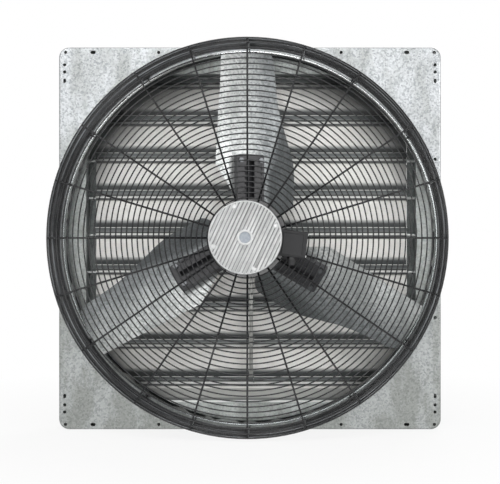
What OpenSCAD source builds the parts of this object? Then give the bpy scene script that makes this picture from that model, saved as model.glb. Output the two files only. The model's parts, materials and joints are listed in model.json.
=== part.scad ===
// Wall exhaust fan with a wire guard that carries the motor and a nine-slat shutter behind.
// The fan axis is the Y axis. The room side is -Y, the outdoor side is +Y, and +Z is up.
// The origin is where the axis meets the front face of the square panel.

/* [Panel] */
// Width and height of the square panel
panel_w = 955; // [940:1:1000]
// Sheet thickness of the panel
panel_t = 1.5; // [1:0.1:2]
// Outer radius of the panel's corners
panel_corner_r = 25; // [18:1:40]
// Bend radius where the panel's edges turn back
panel_bend_r = 4; // [3:0.5:6]
// Depth of the turned-back edges
panel_return = 20; // [16:1:28]
// Diameter of the round mounting holes
hole_d = 8; // [6:0.5:9]
// Distance of the corner holes from the panel's sides
corner_hole_inset = 16.5; // [15:0.5:19]
// Distance of the rows of holes from the panel's top and bottom
row_inset = 12.5; // [11.5:0.5:15]
// Distance of the columns of holes from the panel's sides
column_inset = 14.5; // [12.5:0.5:16]
// Distances of the three round side holes from the panel's top and bottom
side_hole_insets = [43.5, 61.5, 279.5];
// Distance of the side slots from the panel's top and bottom
side_slot_inset = 83.5; // [78:0.5:90]
// Width and length of the side slots
side_slot = [7, 11];
// Distance of the holes in the top and bottom rows from the panel's sides
row_hole_inset = 249.5; // [240:0.5:260]
// Distance of the slots in the top and bottom rows from the panel's sides
row_slot_inset = 85.5; // [78:0.5:92]
// Width and length of the slots in the top and bottom rows
row_slot = [8, 13];

/* [Orifice] */
// Width of the panel beside the throat, where it is narrowest
throat_margin = 15.5; // [14:0.5:17]
// Sheet thickness of the orifice ring
orifice_t = 1.5; // [1:0.1:2]
// Radius of the rolled front lip
lip_r = 3.5; // [3:0.5:4]
// How far the throat reaches behind the panel
throat_depth = 40; // [25:1:55]

/* [Housing] */
// Depth from the panel's front face to the back of the housing
housing_depth = 80; // [70:1:95]
// Sheet thickness of the housing
housing_t = 1.2; // [1:0.1:1.5]
// Width of the rear flange, from the panel's edge to the square opening
rear_flange = 53.5; // [50:0.5:56]
// Shank radius of the rivets
rivet_r = 2; // [1.5:0.1:2.5]

/* [Shutter] */
// Sheet thickness of the shutter frame
frame_t = 1.2; // [1:0.1:1.6]
// Depth of the shutter frame
frame_depth = 52; // [48:1:60]
// Width of the frame's mounting flange
frame_flange = 47; // [44:1:48]
// How far the jambs' rear flange turns inwards
jamb_return = 18; // [12:1:20]
// How far the header's rear flange turns down
header_return = 16; // [12:1:20]
// Depth of the sill
sill_depth = 20; // [16:1:20]
// Number of slats
slat_count = 9;
// Distance of the top slat's pivot below the top of the opening
top_pivot_drop = 29.8; // [28:0.2:32]
// Distance of the lowest slat's pivot above the bottom of the opening
low_pivot_rise = 47.8; // [46:0.2:50]
// Distance of the pivots behind the back of the housing
pivot_offset = 25; // [24:0.5:28]
// Gap between the end of a slat and its jamb
slat_gap = 21.5; // [20:0.5:26]
// Sheet thickness of a slat
slat_t = 1; // [0.8:0.1:1.2]
// Height and depth of the slat's inward lip
slat_lip = 18; // [14:0.5:19]
// Outer radius of the rolled pivot tube
slat_tube_r = 4.6; // [4.2:0.1:5]
// How far the slat's lower edge hangs below the next slat's pivot
slat_overlap = 4.7; // [4:0.1:6]
// Distance of the bend in the slat's face below its pivot
slat_bend = 56; // [50:1:60]
// How far the face leans inwards down to its bend
slat_lean = 6.4; // [5:0.2:7]
// How far the flange below the bend leans outwards
flange_lean = 9.4; // [9:0.2:11]
// Radius of the pivot pins
pin_r = 3; // [2.5:0.1:3.2]
// How far a pivot pin enters its slat
pin_grip = 14; // [10:1:20]
// Distance from a slat's pivot to its tie pin
tie_arm = 34; // [33:0.5:35]
// Width and thickness of the tie bar
tie_bar_size = [9.5, 6];
// Radius of the tie pins
tie_pin_r = 1.6; // [1.4:0.1:1.8]

/* [Guard] */
// How far the guard's outermost ring lies outside the throat
guard_gap = 11; // [9:0.1:12]
// Wire radius of the rings
ring_r = 1.6; // [1.3:0.1:1.8]
// Wire radius of the spokes
spoke_r = 2.25; // [1.8:0.05:2.6]
// Spacing of the rings on the side
ring_pitch = 12.3; // [12:0.05:12.6]
// Spacing of the rings on the face
face_pitch = 12.63; // [12.4:0.01:12.7]
// Number of rings on the side, base ring to corner ring
side_rings = 14; // [12:1:15]
// Spoke angles in one quarter
spoke_angles = [0, 17, 34.3, 55.7, 73.3];
// Angles of the feet in one quarter
foot_angles = [32.5, 57];
// Width, thickness and height of a foot
foot_size = [16, 2, 36];
// How far a foot reaches outside the guard
foot_reach = 22; // [20:1:26]
// Shank radius of the guard's screws
foot_screw_r = 3; // [2:0.5:3.5]
// How far the plate that carries the motor reaches outside the motor's shell
hub_plate_w = 11; // [9:0.5:11]
// Thickness of the plate that carries the motor
hub_plate_t = 3; // [2:0.5:4]
// Wire radius of the hooks
hook_r = 2; // [1.5:0.1:2.2]
// Depth of the four tabs that hold the motor
tab_depth = 30; // [24:1:36]
// Width and thickness of a tab
tab_size = [22, 3];
// Shank radius of the motor's mounting screws
tab_screw_r = 3.5; // [3:0.5:4]

/* [Motor] */
// Radius of the motor's shell
shell_r = 81; // [79:0.5:82]
// Wall of the motor's shell
shell_t = 3.5; // [3:0.1:4]
// How far the ribbed rear cap reaches outside the shell
cap_over = 2; // [1:0.5:3]
// How far the shell stands out in front of the guard's face rings
shell_out = 117.3; // [112:0.1:126]
// Length of the shell
shell_length = 168; // [162:1:176]
// Height of the front bell outside the shell
bell_h = 16; // [12:1:20]
// Distance of the laminations from the shell's rear end
stack_rear = 36; // [32:1:40]
// Distance of the laminations from the shell's front end
stack_front = 42; // [38:1:46]
// Thickness of the rear cap's plate
cap_t = 12; // [10:0.5:14]
// Height of the cap's ribs
rib_h = 3; // [2:0.1:3.4]
// Spacing of the cap's ribs
rib_pitch = 8; // [7:0.1:9]
// Radius of a rib
rib_r = 3.2; // [3:0.1:3.6]
// Direction of the ribs
rib_angle = 65; // [55:1:75]
// Radius of the bare disc at the middle of the cap
cap_disc_r = 12.6; // [10:0.2:14]
// Distance of the through bolts inside the shell's inner face
through_bolt_inset = 4.5; // [4:0.1:5]
// Shank radius of the through bolts
through_bolt_r = 2.4; // [2:0.1:2.6]
// Angles of the through bolts
through_bolt_angles = [21, 109, 196, 286];
// Radius of the hole for the motor's leads
lead_hole_r = 8; // [5:0.5:10]
// Radius of the shaft where it leaves the motor
shaft_r = 7.94; // [7:0.02:8.2]
// Radius of the shaft in its bearings
journal_r = 8.5; // [8.3:0.05:9]
// Outer radius of the bearings
bearing_r = 20; // [18:0.5:21]
// Width of the bearings
bearing_w = 12; // [10:0.5:13]
// Radial depth of the stator
stator_w = 30; // [29:0.5:32]
// Air gap between the rotor core and the stator
air_gap = 0.5; // [0.3:0.05:0.8]

/* [Terminal box] */
// Height, length and depth of the box, square to the motor, along it and out from it
box_size = [61, 78, 57];
// Wall of the box
box_wall = 2.5; // [2:0.1:3]
// Angle of the box round the motor
box_angle = -7.5; // [-12:0.5:0]
// Distance of the box from the shell's rear end
box_inset = 24; // [20:1:28]
// Edge rounding of the box
box_round = 4; // [3:0.5:6]
// Thickness of the lid
lid_t = 4; // [3:0.5:5]
// Radius of the cord gland's thread
gland_r = 8; // [6:0.5:9]
// Radius of the hole for the cord
cord_r = 5; // [3:0.5:5.5]

/* [Rotor] */
// Gap between the blade tips and the throat
tip_gap = 5; // [4:0.5:12]
// Thickness of the blade sheet
blade_t = 2; // [1.5:0.1:2.5]
// Slope of the blades at the root
root_slope = 0.45; // [0.4:0.01:0.48]
// Slope of the blades at the tip
tip_slope = 0.33; // [0.28:0.01:0.38]
// Position of the blade's front face at the root
root_y = -50; // [-54:1:-46]
// Position of the blade's front face at the tip
tip_y = -40; // [-46:1:-36]
// Extra slope of the folded trailing part
fold_slope = 0.9; // [0.7:0.05:1]
// Distance from the axis to the flats of the hub
hub_flat = 34; // [32:0.5:36]
// Radius that rounds the corners of the hub
hub_r = 52; // [50:0.5:54]
// Width and thickness of a blade holder
holder_size = [70, 22];
// Outer end of the blade holders
holder_end = 204; // [198:1:208]
// Shift of the blade holders along the chord
holder_shift = -4; // [-8:0.2:0]
// Shift of a holder's slot from the holder's middle
slot_shift = 1.6; // [0:0.2:3]
// Width of the slot along a holder
holder_slot = 15; // [12:0.5:18]
// Shank radius of the blade bolts
blade_bolt_r = 4; // [3.5:0.1:4.5]
// Shank radius of the radial bolts in the hub
hub_bolt_r = 4; // [3.5:0.1:4.2]
// Position of the hub's front face
hub_front = -88; // [-92:1:-86]
// Position of the hub's back face
hub_back = -36; // [-38:1:-30]
// Width and height of the shaft key
key_w = 4.76; // [4:0.02:5]
// Shank radius of the screw in the end of the shaft
retainer_r = 3; // [2.5:0.1:3.5]

/* [Hidden] */
$fn = 96;

// A clearance for pieces that are put together and don't run
fit = 0.2;
// A radial clearance for pieces that turn on each other
run = 0.05;
// How far a cutting tool passes the face that it cuts
past = 1;

panel_half = panel_w / 2;
throat_r = panel_half - throat_margin;
opening_half = panel_half - rear_flange;
guard_r = throat_r + guard_gap;
tip_r = throat_r - tip_gap;
corner_hole = [panel_half - corner_hole_inset, panel_half - row_inset];
column_x = panel_half - column_inset;
wall_out = panel_half - panel_t;
wall_corner_r = panel_corner_r - panel_t;
orifice_out = throat_r + orifice_t;
lip_centre_r = throat_r + lip_r;
flange_y = housing_depth + frame_t;
wall_front = panel_bend_r + fit;
// How far a housing tab reaches back along the wall that it belongs to
lap_hold = 7.5;
pivot_y = housing_depth + pivot_offset;
slat_pitch = (2 * opening_half - top_pivot_drop - low_pivot_rise) / (slat_count - 1);
slat_drop = slat_pitch + slat_overlap;
slat_half = opening_half - slat_gap;
pivots = [for (i = [0 : slat_count - 1]) opening_half - top_pivot_drop - i * slat_pitch];
tie_d = tie_arm / sqrt(2);
tie_y = pivot_y - tie_d;

lip_front = -2 * lip_r;
base_ring_y = lip_front - fit - ring_r;
face_ring_y = base_ring_y - (side_rings - 1) * ring_pitch;
spoke_y = face_ring_y + ring_r + spoke_r;
stay_r = guard_r - ring_r - spoke_r;
// How deep the four main stays sink into the rings where they are welded
weld = 0.75;
spokes = [for (q = [0 : 3], a = spoke_angles) q * 90 + a];
main_stays = [0, 90, 180, 270];
side_stays = [for (a = spokes) if (a % 90 > 0) a];
feet = [for (q = [0 : 3], a = foot_angles) q * 90 + a];
foot_screw_pcr = guard_r + ring_r + foot_reach / 2;
tab_angles = [37, 127, 217, 307];
hub_plate_y = spoke_y + spoke_r;
hub_plate_r = shell_r + hub_plate_w;
// Flat rings of the face, down to the edge of the hub plate
face_rings = 1 + floor((guard_r - hub_plate_r - ring_r - fit) / face_pitch);
tab_screw_y = hub_plate_y + tab_depth - 8;
// Bend radius of the wires at the guard's corner
wire_bend = 4;
ring_in = guard_r - ring_r;

shell_rear = face_ring_y - shell_out;
shell_front = shell_rear + shell_length;
box_front = shell_rear + box_inset;
shell_in = shell_r - shell_t;
cap_r = shell_r + cap_over;
cap_rear = shell_rear - cap_t;
bell_front = shell_front + bell_h;
through_bolt_pcr = shell_in - through_bolt_inset;
core_r = shell_in - stator_w - air_gap;
rib_half = floor(cap_r / rib_pitch);
spoke_in_r = shell_r + 3;
seat_clear = 2;
holder_pitch = atan(root_slope);
flat_z = 210;

// A wall of the fan in the X-Z plane, from y0 back to y0 + t
module plate(y0, t) {
    translate([0, y0 + t, 0]) rotate([90, 0, 0]) linear_extrude(t) children();
}

// A ring about the fan axis from an outline of radius and depth
module revolve() {
    rotate([-90, 0, 0]) rotate_extrude() children();
}

// A round bar along the fan axis
module bar_y(r, y0, y1) {
    translate([0, y0, 0]) rotate([-90, 0, 0]) cylinder(r = r, h = y1 - y0);
}

// A bar across the fan from an outline in the Y-Z plane
module bar_x(x0, x1) {
    translate([x0, 0, 0]) rotate([90, 0, 90]) linear_extrude(x1 - x0) children();
}

// Turns a piece at three o'clock round the fan axis
module turn(a) {
    rotate([0, -a, 0]) children();
}

module rounded_square(half, r) {
    square(2 * [half - r, half], center = true);
    square(2 * [half, half - r], center = true);
    for (sx = [-1, 1], sy = [-1, 1]) translate([sx, sy] * (half - r)) circle(r = r);
}

module slot_2d(w, length) {
    square([w, length - w], center = true);
    for (s = [-1, 1]) translate([0, s * (length - w) / 2]) circle(d = w);
}

module panel_holes_2d() {
    for (sx = [-1, 1], sz = [-1, 1]) {
        translate([sx * corner_hole[0], sz * corner_hole[1]]) circle(d = hole_d);
        for (z = side_hole_insets) translate([sx * column_x, sz * (panel_half - z)]) circle(d = hole_d);
        translate([sx * column_x, sz * (panel_half - side_slot_inset)])
            slot_2d(side_slot[0], side_slot[1]);
        translate([sx * (panel_half - row_hole_inset), sz * corner_hole[1]]) circle(d = hole_d);
        translate([sx * (panel_half - row_slot_inset), sz * corner_hole[1]]) rotate(90)
            slot_2d(row_slot[0], row_slot[1]);
    }
}

module corner_holes_2d() {
    for (sx = [-1, 1], sz = [-1, 1])
        translate([sx * corner_hole[0], sz * corner_hole[1]]) circle(d = hole_d);
}

// Section of the turned-back edge: x runs inwards from the panel's edge, y runs back
module edge_2d() {
    difference() {
        intersection() {
            translate([panel_bend_r, panel_bend_r]) circle(r = panel_bend_r);
            square(panel_bend_r);
        }
        translate([panel_bend_r, panel_bend_r]) circle(r = panel_bend_r - panel_t);
    }
    translate([0, panel_bend_r]) square([panel_t, panel_return - panel_bend_r]);
}

module panel() {
    straight = panel_half - panel_corner_r;
    color("gainsboro") difference() {
        union() {
            plate(0, panel_t) rounded_square(panel_half - panel_bend_r, panel_corner_r - panel_bend_r);
            for (a = [0 : 90 : 270]) turn(a) {
                translate([panel_half, 0, -straight]) mirror([1, 0, 0])
                    linear_extrude(2 * straight) edge_2d();
                translate([straight, 0, straight]) rotate([-90, 0, 0]) rotate([0, 0, -90])
                    rotate_extrude(angle = 90) translate([panel_corner_r, 0]) mirror([1, 0]) edge_2d();
            }
        }
        bar_y(orifice_out + fit, -past, panel_t + past);
        plate(-past, panel_t + 2 * past) panel_holes_2d();
        housing_rivet_holes();
        foot_screw_holes();
    }
}

module orifice_ring() {
    color("whitesmoke") revolve() {
        translate([lip_centre_r, -lip_r]) circle(r = lip_r, $fn = 32);
        translate([throat_r, -lip_r]) square([orifice_t, lip_r + throat_depth]);
        translate([throat_r + orifice_t / 2, throat_depth]) circle(r = orifice_t, $fn = 32);
    }
}

// Four places along a straight side, evenly spaced out to reach
function spread(reach) = [-reach, -reach / 3, reach / 3, reach];

// Places of the rivets: round the panel's edge, then in the laps of the housing
edge_rivet_inset = 127.5;
edge_rivets = spread(panel_half - edge_rivet_inset);
edge_rivet_y = 13;
lap_rivet_ys = [38, 64];
lap_rivet_x = (opening_half + wall_out - wall_corner_r) / 2;
rivet_head = 0.9;

module each_edge_rivet() {
    for (a = [0 : 90 : 270], p = edge_rivets)
        turn(a) translate([panel_half, edge_rivet_y, p]) rotate([0, -90, 0]) children();
}

module each_lap_rivet() {
    for (sx = [-1, 1], sz = [-1, 1], y = lap_rivet_ys)
        translate([sx * lap_rivet_x, y, sz * wall_out]) rotate([sz > 0 ? 180 : 0, 0, 0]) children();
}

module housing_rivet_holes() {
    each_edge_rivet() translate([0, 0, -past]) cylinder(r = rivet_r + run, h = 6 * panel_t);
    each_lap_rivet() translate([0, 0, -past]) cylinder(r = rivet_r + run, h = 6 * panel_t);
}

// A blind rivet whose head sits at z = 0 and whose tail closes below the sheets
module rivet(grip) {
    translate([0, 0, -rivet_head]) cylinder(r = 2 * rivet_r, h = rivet_head);
    cylinder(r = rivet_r, h = grip);
    translate([0, 0, grip]) cylinder(r = 1.5 * rivet_r, h = rivet_r);
}

module housing_rivets() {
    color("silver") {
        each_edge_rivet() rivet(panel_t + housing_t);
        each_lap_rivet() rivet(2 * housing_t);
        each_shutter_rivet() rivet(frame_t + housing_t);
    }
}

// The housing's walls and rear flange as one shell, before it is divided
module housing_shell() {
    plate(wall_front, housing_depth - wall_front) difference() {
        rounded_square(wall_out, wall_corner_r);
        rounded_square(wall_out - housing_t, wall_corner_r - housing_t);
    }
    plate(housing_depth - housing_t, housing_t) difference() {
        rounded_square(wall_out, wall_corner_r);
        square(2 * opening_half, center = true);
    }
}

module housing_side(sx) {
    color("lightgray") difference() {
        intersection() {
            housing_shell();
            translate([sx * (opening_half + wall_out / 2), housing_depth / 2, 0])
                cube([wall_out, 2 * housing_depth, 3 * wall_out], center = true);
        }
        plate(housing_depth - 2 * housing_t, 3 * housing_t) corner_holes_2d();
        housing_rivet_holes();
        shutter_rivet_holes();
    }
}

module housing_side_left() {
    housing_side(-1);
}

module housing_side_right() {
    housing_side(1);
}

// Top or bottom wall, with a tab at each end that laps inside the side pieces
module housing_cross(sz) {
    half = opening_half - fit;
    tab_start = half - lap_hold;
    tab_end = wall_out - wall_corner_r - fit;
    inside = wall_out - housing_t;
    flange_front = housing_depth - housing_t;
    color("lightgray") difference() {
        mirror([0, 0, sz > 0 ? 0 : 1]) {
            translate([-half, wall_front, inside]) cube([2 * half, housing_depth - wall_front, housing_t]);
            translate([-half, flange_front, opening_half])
                cube([2 * half, housing_t, wall_out - opening_half]);
            for (s = [0, 1]) mirror([s, 0, 0])
                translate([tab_start, wall_front, inside - housing_t])
                    cube([tab_end - tab_start, flange_front - wall_front, housing_t]);
        }
        housing_rivet_holes();
        shutter_rivet_holes();
    }
}

module housing_top() {
    housing_cross(1);
}

module housing_bottom() {
    housing_cross(-1);
}

// Places of the rivets that hold the shutter frame to the housing's rear flange
jamb_rivet_inset = 34;
cross_rivet_inset = 94;
jamb_rivet_zs = spread(opening_half - jamb_rivet_inset);
cross_rivet_xs = spread(opening_half - cross_rivet_inset);
shutter_rivet_r = opening_half + frame_flange / 2;

module each_shutter_rivet() {
    for (s = [-1, 1]) {
        for (z = jamb_rivet_zs) translate([s * shutter_rivet_r, flange_y, z]) rotate([90, 0, 0]) children();
        for (x = cross_rivet_xs) translate([x, flange_y, s * shutter_rivet_r]) rotate([90, 0, 0]) children();
    }
}

module shutter_rivet_holes() {
    each_shutter_rivet() translate([0, 0, -past]) cylinder(r = rivet_r + run, h = 4 * panel_t);
}

// Upright of the shutter frame: a flange outwards, a web back and a return inwards
module shutter_jamb(sx) {
    back = housing_depth + frame_depth;
    color("silver") difference() {
        intersection() {
            mirror([sx > 0 ? 0 : 1, 0, 0]) translate([0, 0, -wall_out]) {
                translate([opening_half, housing_depth, 0]) cube([frame_flange, frame_t, 2 * wall_out]);
                translate([opening_half, housing_depth, 0])
                    cube([frame_t, frame_depth, wall_out + opening_half + frame_t]);
                translate([opening_half - jamb_return, back - frame_t, 0])
                    cube([jamb_return + frame_t / 2, frame_t, wall_out + opening_half - fit]);
            }
            plate(housing_depth, frame_depth) rounded_square(wall_out, wall_corner_r);
        }
        for (z = pivots) translate([sx * (opening_half - past), pivot_y, z]) rotate([0, sx * 90, 0])
            cylinder(r = pin_r + run, h = frame_t + 2 * past);
        shutter_rivet_holes();
        plate(housing_depth - past, frame_t + 2 * past) corner_holes_2d();
    }
}

module shutter_jamb_left() {
    shutter_jamb(-1);
}

module shutter_jamb_right() {
    shutter_jamb(1);
}

module shutter_header() {
    half = opening_half - fit;
    back = housing_depth + frame_depth;
    color("silver") difference() {
        union() {
            translate([-half, housing_depth, opening_half]) cube([2 * half, frame_t, frame_flange]);
            translate([-half, housing_depth, opening_half]) cube([2 * half, frame_depth, frame_t]);
            translate([-half + jamb_return, back - frame_t, opening_half - header_return])
                cube([2 * (half - jamb_return), frame_t, header_return + frame_t / 2]);
        }
        shutter_rivet_holes();
    }
}

module shutter_sill() {
    half = opening_half - fit;
    upstand = 6;
    color("silver") difference() {
        mirror([0, 0, 1]) {
            translate([-half, housing_depth, opening_half]) cube([2 * half, frame_t, frame_flange]);
            translate([-half, housing_depth, opening_half]) cube([2 * half, sill_depth, frame_t]);
            translate([-half, housing_depth + sill_depth - frame_t, opening_half - upstand])
                cube([2 * half, frame_t, upstand + frame_t / 2]);
        }
        shutter_rivet_holes();
    }
}

// Pivot pins: each is headed outside its jamb, and a shoulder keeps the slat centred
module slat_pivot_pins() {
    head = 2;
    color("silver") for (sx = [-1, 1], z = pivots)
        translate([sx * opening_half, pivot_y, z]) rotate([0, -sx * 90, 0]) {
            translate([0, 0, -frame_t - head]) cylinder(r = 1.7 * pin_r, h = head);
            translate([0, 0, -frame_t]) cylinder(r = pin_r, h = frame_t + slat_gap + pin_grip);
            cylinder(r = 1.5 * pin_r, h = slat_gap - 2 * fit);
        }
}

// How far the sheet of a slat lies inside the round of its tube
tube_step = 0.2;

// Slat section about its pivot: rolled tube, inward lip, and a face bent into a flange
module slat_2d() {
    lip_length = slat_lip * sqrt(2);
    hem = 2.5;
    sheet = slat_tube_r - tube_step;
    top = sheet - slat_t;
    bend = top - slat_lean;
    end = bend + flange_lean;
    face = [[top, 0], [bend, -slat_bend], [end, -slat_drop]];
    difference() {
        union() {
            circle(r = slat_tube_r);
            rotate(135) translate([0, -sheet]) square([lip_length, slat_t]);
            rotate(135) translate([lip_length - hem, -sheet]) square([hem, 2 * slat_t]);
            polygon(concat(face, [for (i = [2, 1, 0]) face[i] + [slat_t, 0]]));
            translate([end - hem / 4, -slat_drop]) square([2 * slat_t, hem]);
        }
        circle(r = pin_r + run);
    }
}

// Ear of a slat that the tie bar's pin runs in
module slat_ear_2d() {
    ear_r = 2.6 * tie_pin_r;
    tube_mid = (slat_tube_r + pin_r) / 2;
    difference() {
        rotate(135) {
            translate([tube_mid, tube_step - slat_tube_r])
                square([tie_arm - tube_mid, slat_tube_r - tube_step + tie_pin_r]);
            translate([tie_arm, 0]) circle(r = ear_r);
        }
        rotate(135) translate([tie_arm, 0]) circle(r = tie_pin_r + run);
    }
}

ear_gap = 0.5;
ear_x = tie_bar_size[0] / 2 + ear_gap;
ear_t = 2;

module slat(i) {
    color("gainsboro") translate([0, pivot_y, pivots[i - 1]]) {
        bar_x(-slat_half, slat_half) slat_2d();
        bar_x(ear_x, ear_x + ear_t) slat_ear_2d();
    }
}

// Bar that joins every slat
module tie_bar() {
    over = 4;
    length = (slat_count - 1) * slat_pitch + 2 * over;
    color("silver") difference() {
        translate([-tie_bar_size[0] / 2, tie_y - tie_bar_size[1] / 2, pivots[0] + tie_d + over - length])
            cube([tie_bar_size[0], tie_bar_size[1], length]);
        for (z = pivots) translate([-tie_bar_size[0], tie_y, z + tie_d]) rotate([0, 90, 0])
            cylinder(r = tie_pin_r + run, h = 2 * tie_bar_size[0]);
    }
}

// Pins through the bar and the slats' ears, headed on both sides
module tie_pins() {
    head = 1.5;
    head_r = 1.5 * tie_pin_r;
    grip = tie_bar_size[0] + ear_gap + ear_t + fit;
    color("silver") for (z = pivots)
        translate([-tie_bar_size[0] / 2, tie_y, z + tie_d]) rotate([0, 90, 0]) {
            translate([0, 0, -head]) cylinder(r = head_r, h = head);
            cylinder(r = tie_pin_r, h = grip);
            translate([0, 0, grip]) cylinder(r = head_r, h = head);
        }
}

module ring(r, y) {
    translate([0, y, 0]) revolve() translate([r, 0]) circle(r = ring_r, $fn = 16);
}

module stay(r) {
    translate([r, 0, 0]) bar_y(spoke_r, spoke_y + wire_bend, lip_front - fit);
}

// Rings of the guard's side, welded to the four main stays that run down inside them
module guard_side_cage() {
    color("dimgray") {
        for (i = [0 : side_rings - 2]) ring(guard_r, base_ring_y - i * ring_pitch);
        for (a = main_stays) turn(a) stay(stay_r + weld);
    }
}

// The other wires that run down inside the rings
module guard_side_stays() {
    color("dimgray") for (a = side_stays) turn(a) stay(stay_r);
}

// Flat rings of the face, counted inwards from the corner
module face_ring_set(first, last) {
    color("dimgray") for (i = [first : last]) ring(guard_r - i * face_pitch, face_ring_y);
}

// Outer flat rings, and a corner ring seated on the bend of the wires
module guard_face_rings_outer() {
    reach = (wire_bend + spoke_r + ring_r) / sqrt(2);
    color("dimgray") ring(stay_r - wire_bend + reach, spoke_y + wire_bend - reach);
    face_ring_set(1, floor(face_rings / 2));
}

module guard_face_rings_inner() {
    face_ring_set(floor(face_rings / 2) + 1, face_rings - 1);
}

// Radial wires of the face, each bent back at its outer end to meet a side wire
module guard_face_spokes() {
    straight = stay_r - wire_bend - spoke_in_r;
    color("dimgray") for (a = spokes) turn(a) translate([0, spoke_y, 0]) {
        translate([spoke_in_r, 0, 0]) rotate([0, 90, 0]) cylinder(r = spoke_r, h = straight);
        translate([stay_r - wire_bend, wire_bend, 0]) rotate([0, 0, -90])
            rotate_extrude(angle = 90) translate([wire_bend, 0]) circle(r = spoke_r);
    }
}

// Plate behind the inner ends of the spokes, with four tabs bent back along the motor
module guard_hub_plate() {
    color("dimgray") difference() {
        union() {
            bar_y(hub_plate_r, hub_plate_y, hub_plate_y + hub_plate_t);
            intersection() {
                bar_y(shell_r + fit + tab_size[1], hub_plate_y, hub_plate_y + tab_depth);
                for (a = tab_angles) turn(a) translate([shell_r / 2, hub_plate_y, -tab_size[0] / 2])
                    cube([shell_r, tab_depth, tab_size[0]]);
            }
        }
        bar_y(shell_r + fit, hub_plate_y - past, hub_plate_y + tab_depth + past);
        each_tab() cylinder(r = tab_screw_r + run, h = shell_t + 3 * tab_size[1]);
    }
}

// Places of the motor's mounting screws, each pointing outwards from the shell's inner face
module each_tab() {
    for (a = tab_angles) turn(a) translate([shell_in, tab_screw_y, 0]) rotate([0, 90, 0]) children();
}

module motor_mount_screws() {
    head = 4;
    reach = shell_t + fit + tab_size[1];
    color("silver") each_tab() {
        cylinder(r = tab_screw_r, h = reach);
        translate([0, 0, reach]) cylinder(r = 1.9 * tab_screw_r, h = head, $fn = 6);
    }
}

// Angle feet: a leg along the outside of the lowest rings and a flange under each screw
module guard_feet() {
    inner = guard_r + ring_r;
    color("dimgray") difference() {
        for (a = feet) turn(a) translate([inner, 0, -foot_size[0] / 2]) {
            translate([0, -foot_size[2], 0]) cube([foot_size[1], foot_size[2], foot_size[0]]);
            translate([0, -foot_size[1], 0]) cube([foot_reach, foot_size[1], foot_size[0]]);
        }
        foot_screw_holes();
    }
}

module foot_screw_holes() {
    for (a = feet) turn(a) translate([foot_screw_pcr, 0, 0])
        bar_y(foot_screw_r + run, -foot_size[1] - past, panel_t + past);
}

// Short wires beside the spokes, hooked over the rolled lip
module guard_hooks() {
    r = ring_in - hook_r;
    y = lip_front - hook_r - fit;
    color("dimgray") for (a = feet) turn(a) {
        translate([r, 0, 0]) bar_y(hook_r, y - 3 * ring_pitch, y);
        translate([r, y, 0]) sphere(r = hook_r);
        translate([throat_r, y, 0]) rotate([0, 90, 0]) cylinder(r = hook_r, h = r - throat_r);
    }
}

// A hexagon head or nut along the fan axis
module hex_y(r, y0, h) {
    translate([0, y0, 0]) rotate([-90, 0, 0]) cylinder(r = r, h = h, $fn = 6);
}

// Hexagon screws through the feet, each with its nut behind the panel
module guard_screws() {
    head_r = 1.8 * foot_screw_r;
    head = 4;
    nut = 5;
    tail = panel_t + 2 * nut;
    color("silver") for (a = feet) turn(a) translate([foot_screw_pcr, 0, 0]) {
        hex_y(head_r, -foot_size[1] - head, head);
        bar_y(foot_screw_r, -foot_size[1], tail);
        difference() {
            hex_y(head_r, panel_t, nut);
            bar_y(foot_screw_r + run, 0, tail);
        }
    }
}

module each_through_bolt() {
    for (a = through_bolt_angles) turn(a) translate([through_bolt_pcr, 0, 0]) children();
}

module through_bolt_holes() {
    each_through_bolt() bar_y(through_bolt_r + fit, cap_rear - cap_t, bell_front + past);
}

module lead_hole(r_end) {
    turn(box_angle) translate([0, box_front + box_size[1] / 2, 0]) rotate([0, 90, 0])
        cylinder(r = lead_hole_r, h = r_end);
}

module motor_shell() {
    color("dimgray") difference() {
        bar_tube(shell_r, shell_in, shell_rear, shell_front);
        each_tab() translate([0, 0, -past]) cylinder(r = tab_screw_r + run, h = shell_t + 2 * past);
        lead_hole(2 * shell_r);
    }
}

module bar_tube(r_out, r_in, y0, y1) {
    difference() {
        bar_y(r_out, y0, y1);
        bar_y(r_in, y0 - past, y1 + past);
    }
}

// Section of an end cap's bearing seat and of the spigot that centres it in the shell
seat_wall = 6;
spigot = [12, 6];

module seat_2d(y0, y1) {
    translate([bearing_r + run / 2, y0]) square([seat_wall, y1 - y0]);
}

module spigot_2d(y0) {
    translate([shell_in - spigot[0], y0]) square([spigot[0] - fit, spigot[1] + past]);
}

// Section across the slanted ribs of the rear cap
module ribs_2d() {
    intersection() {
        for (i = [-rib_half : rib_half])
            translate([cap_rear - rib_h + rib_r, i * rib_pitch]) circle(r = rib_r, $fn = 32);
        translate([cap_rear - 2 * rib_h, -cap_r]) square([2 * rib_h + past, 2 * cap_r]);
    }
}

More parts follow.
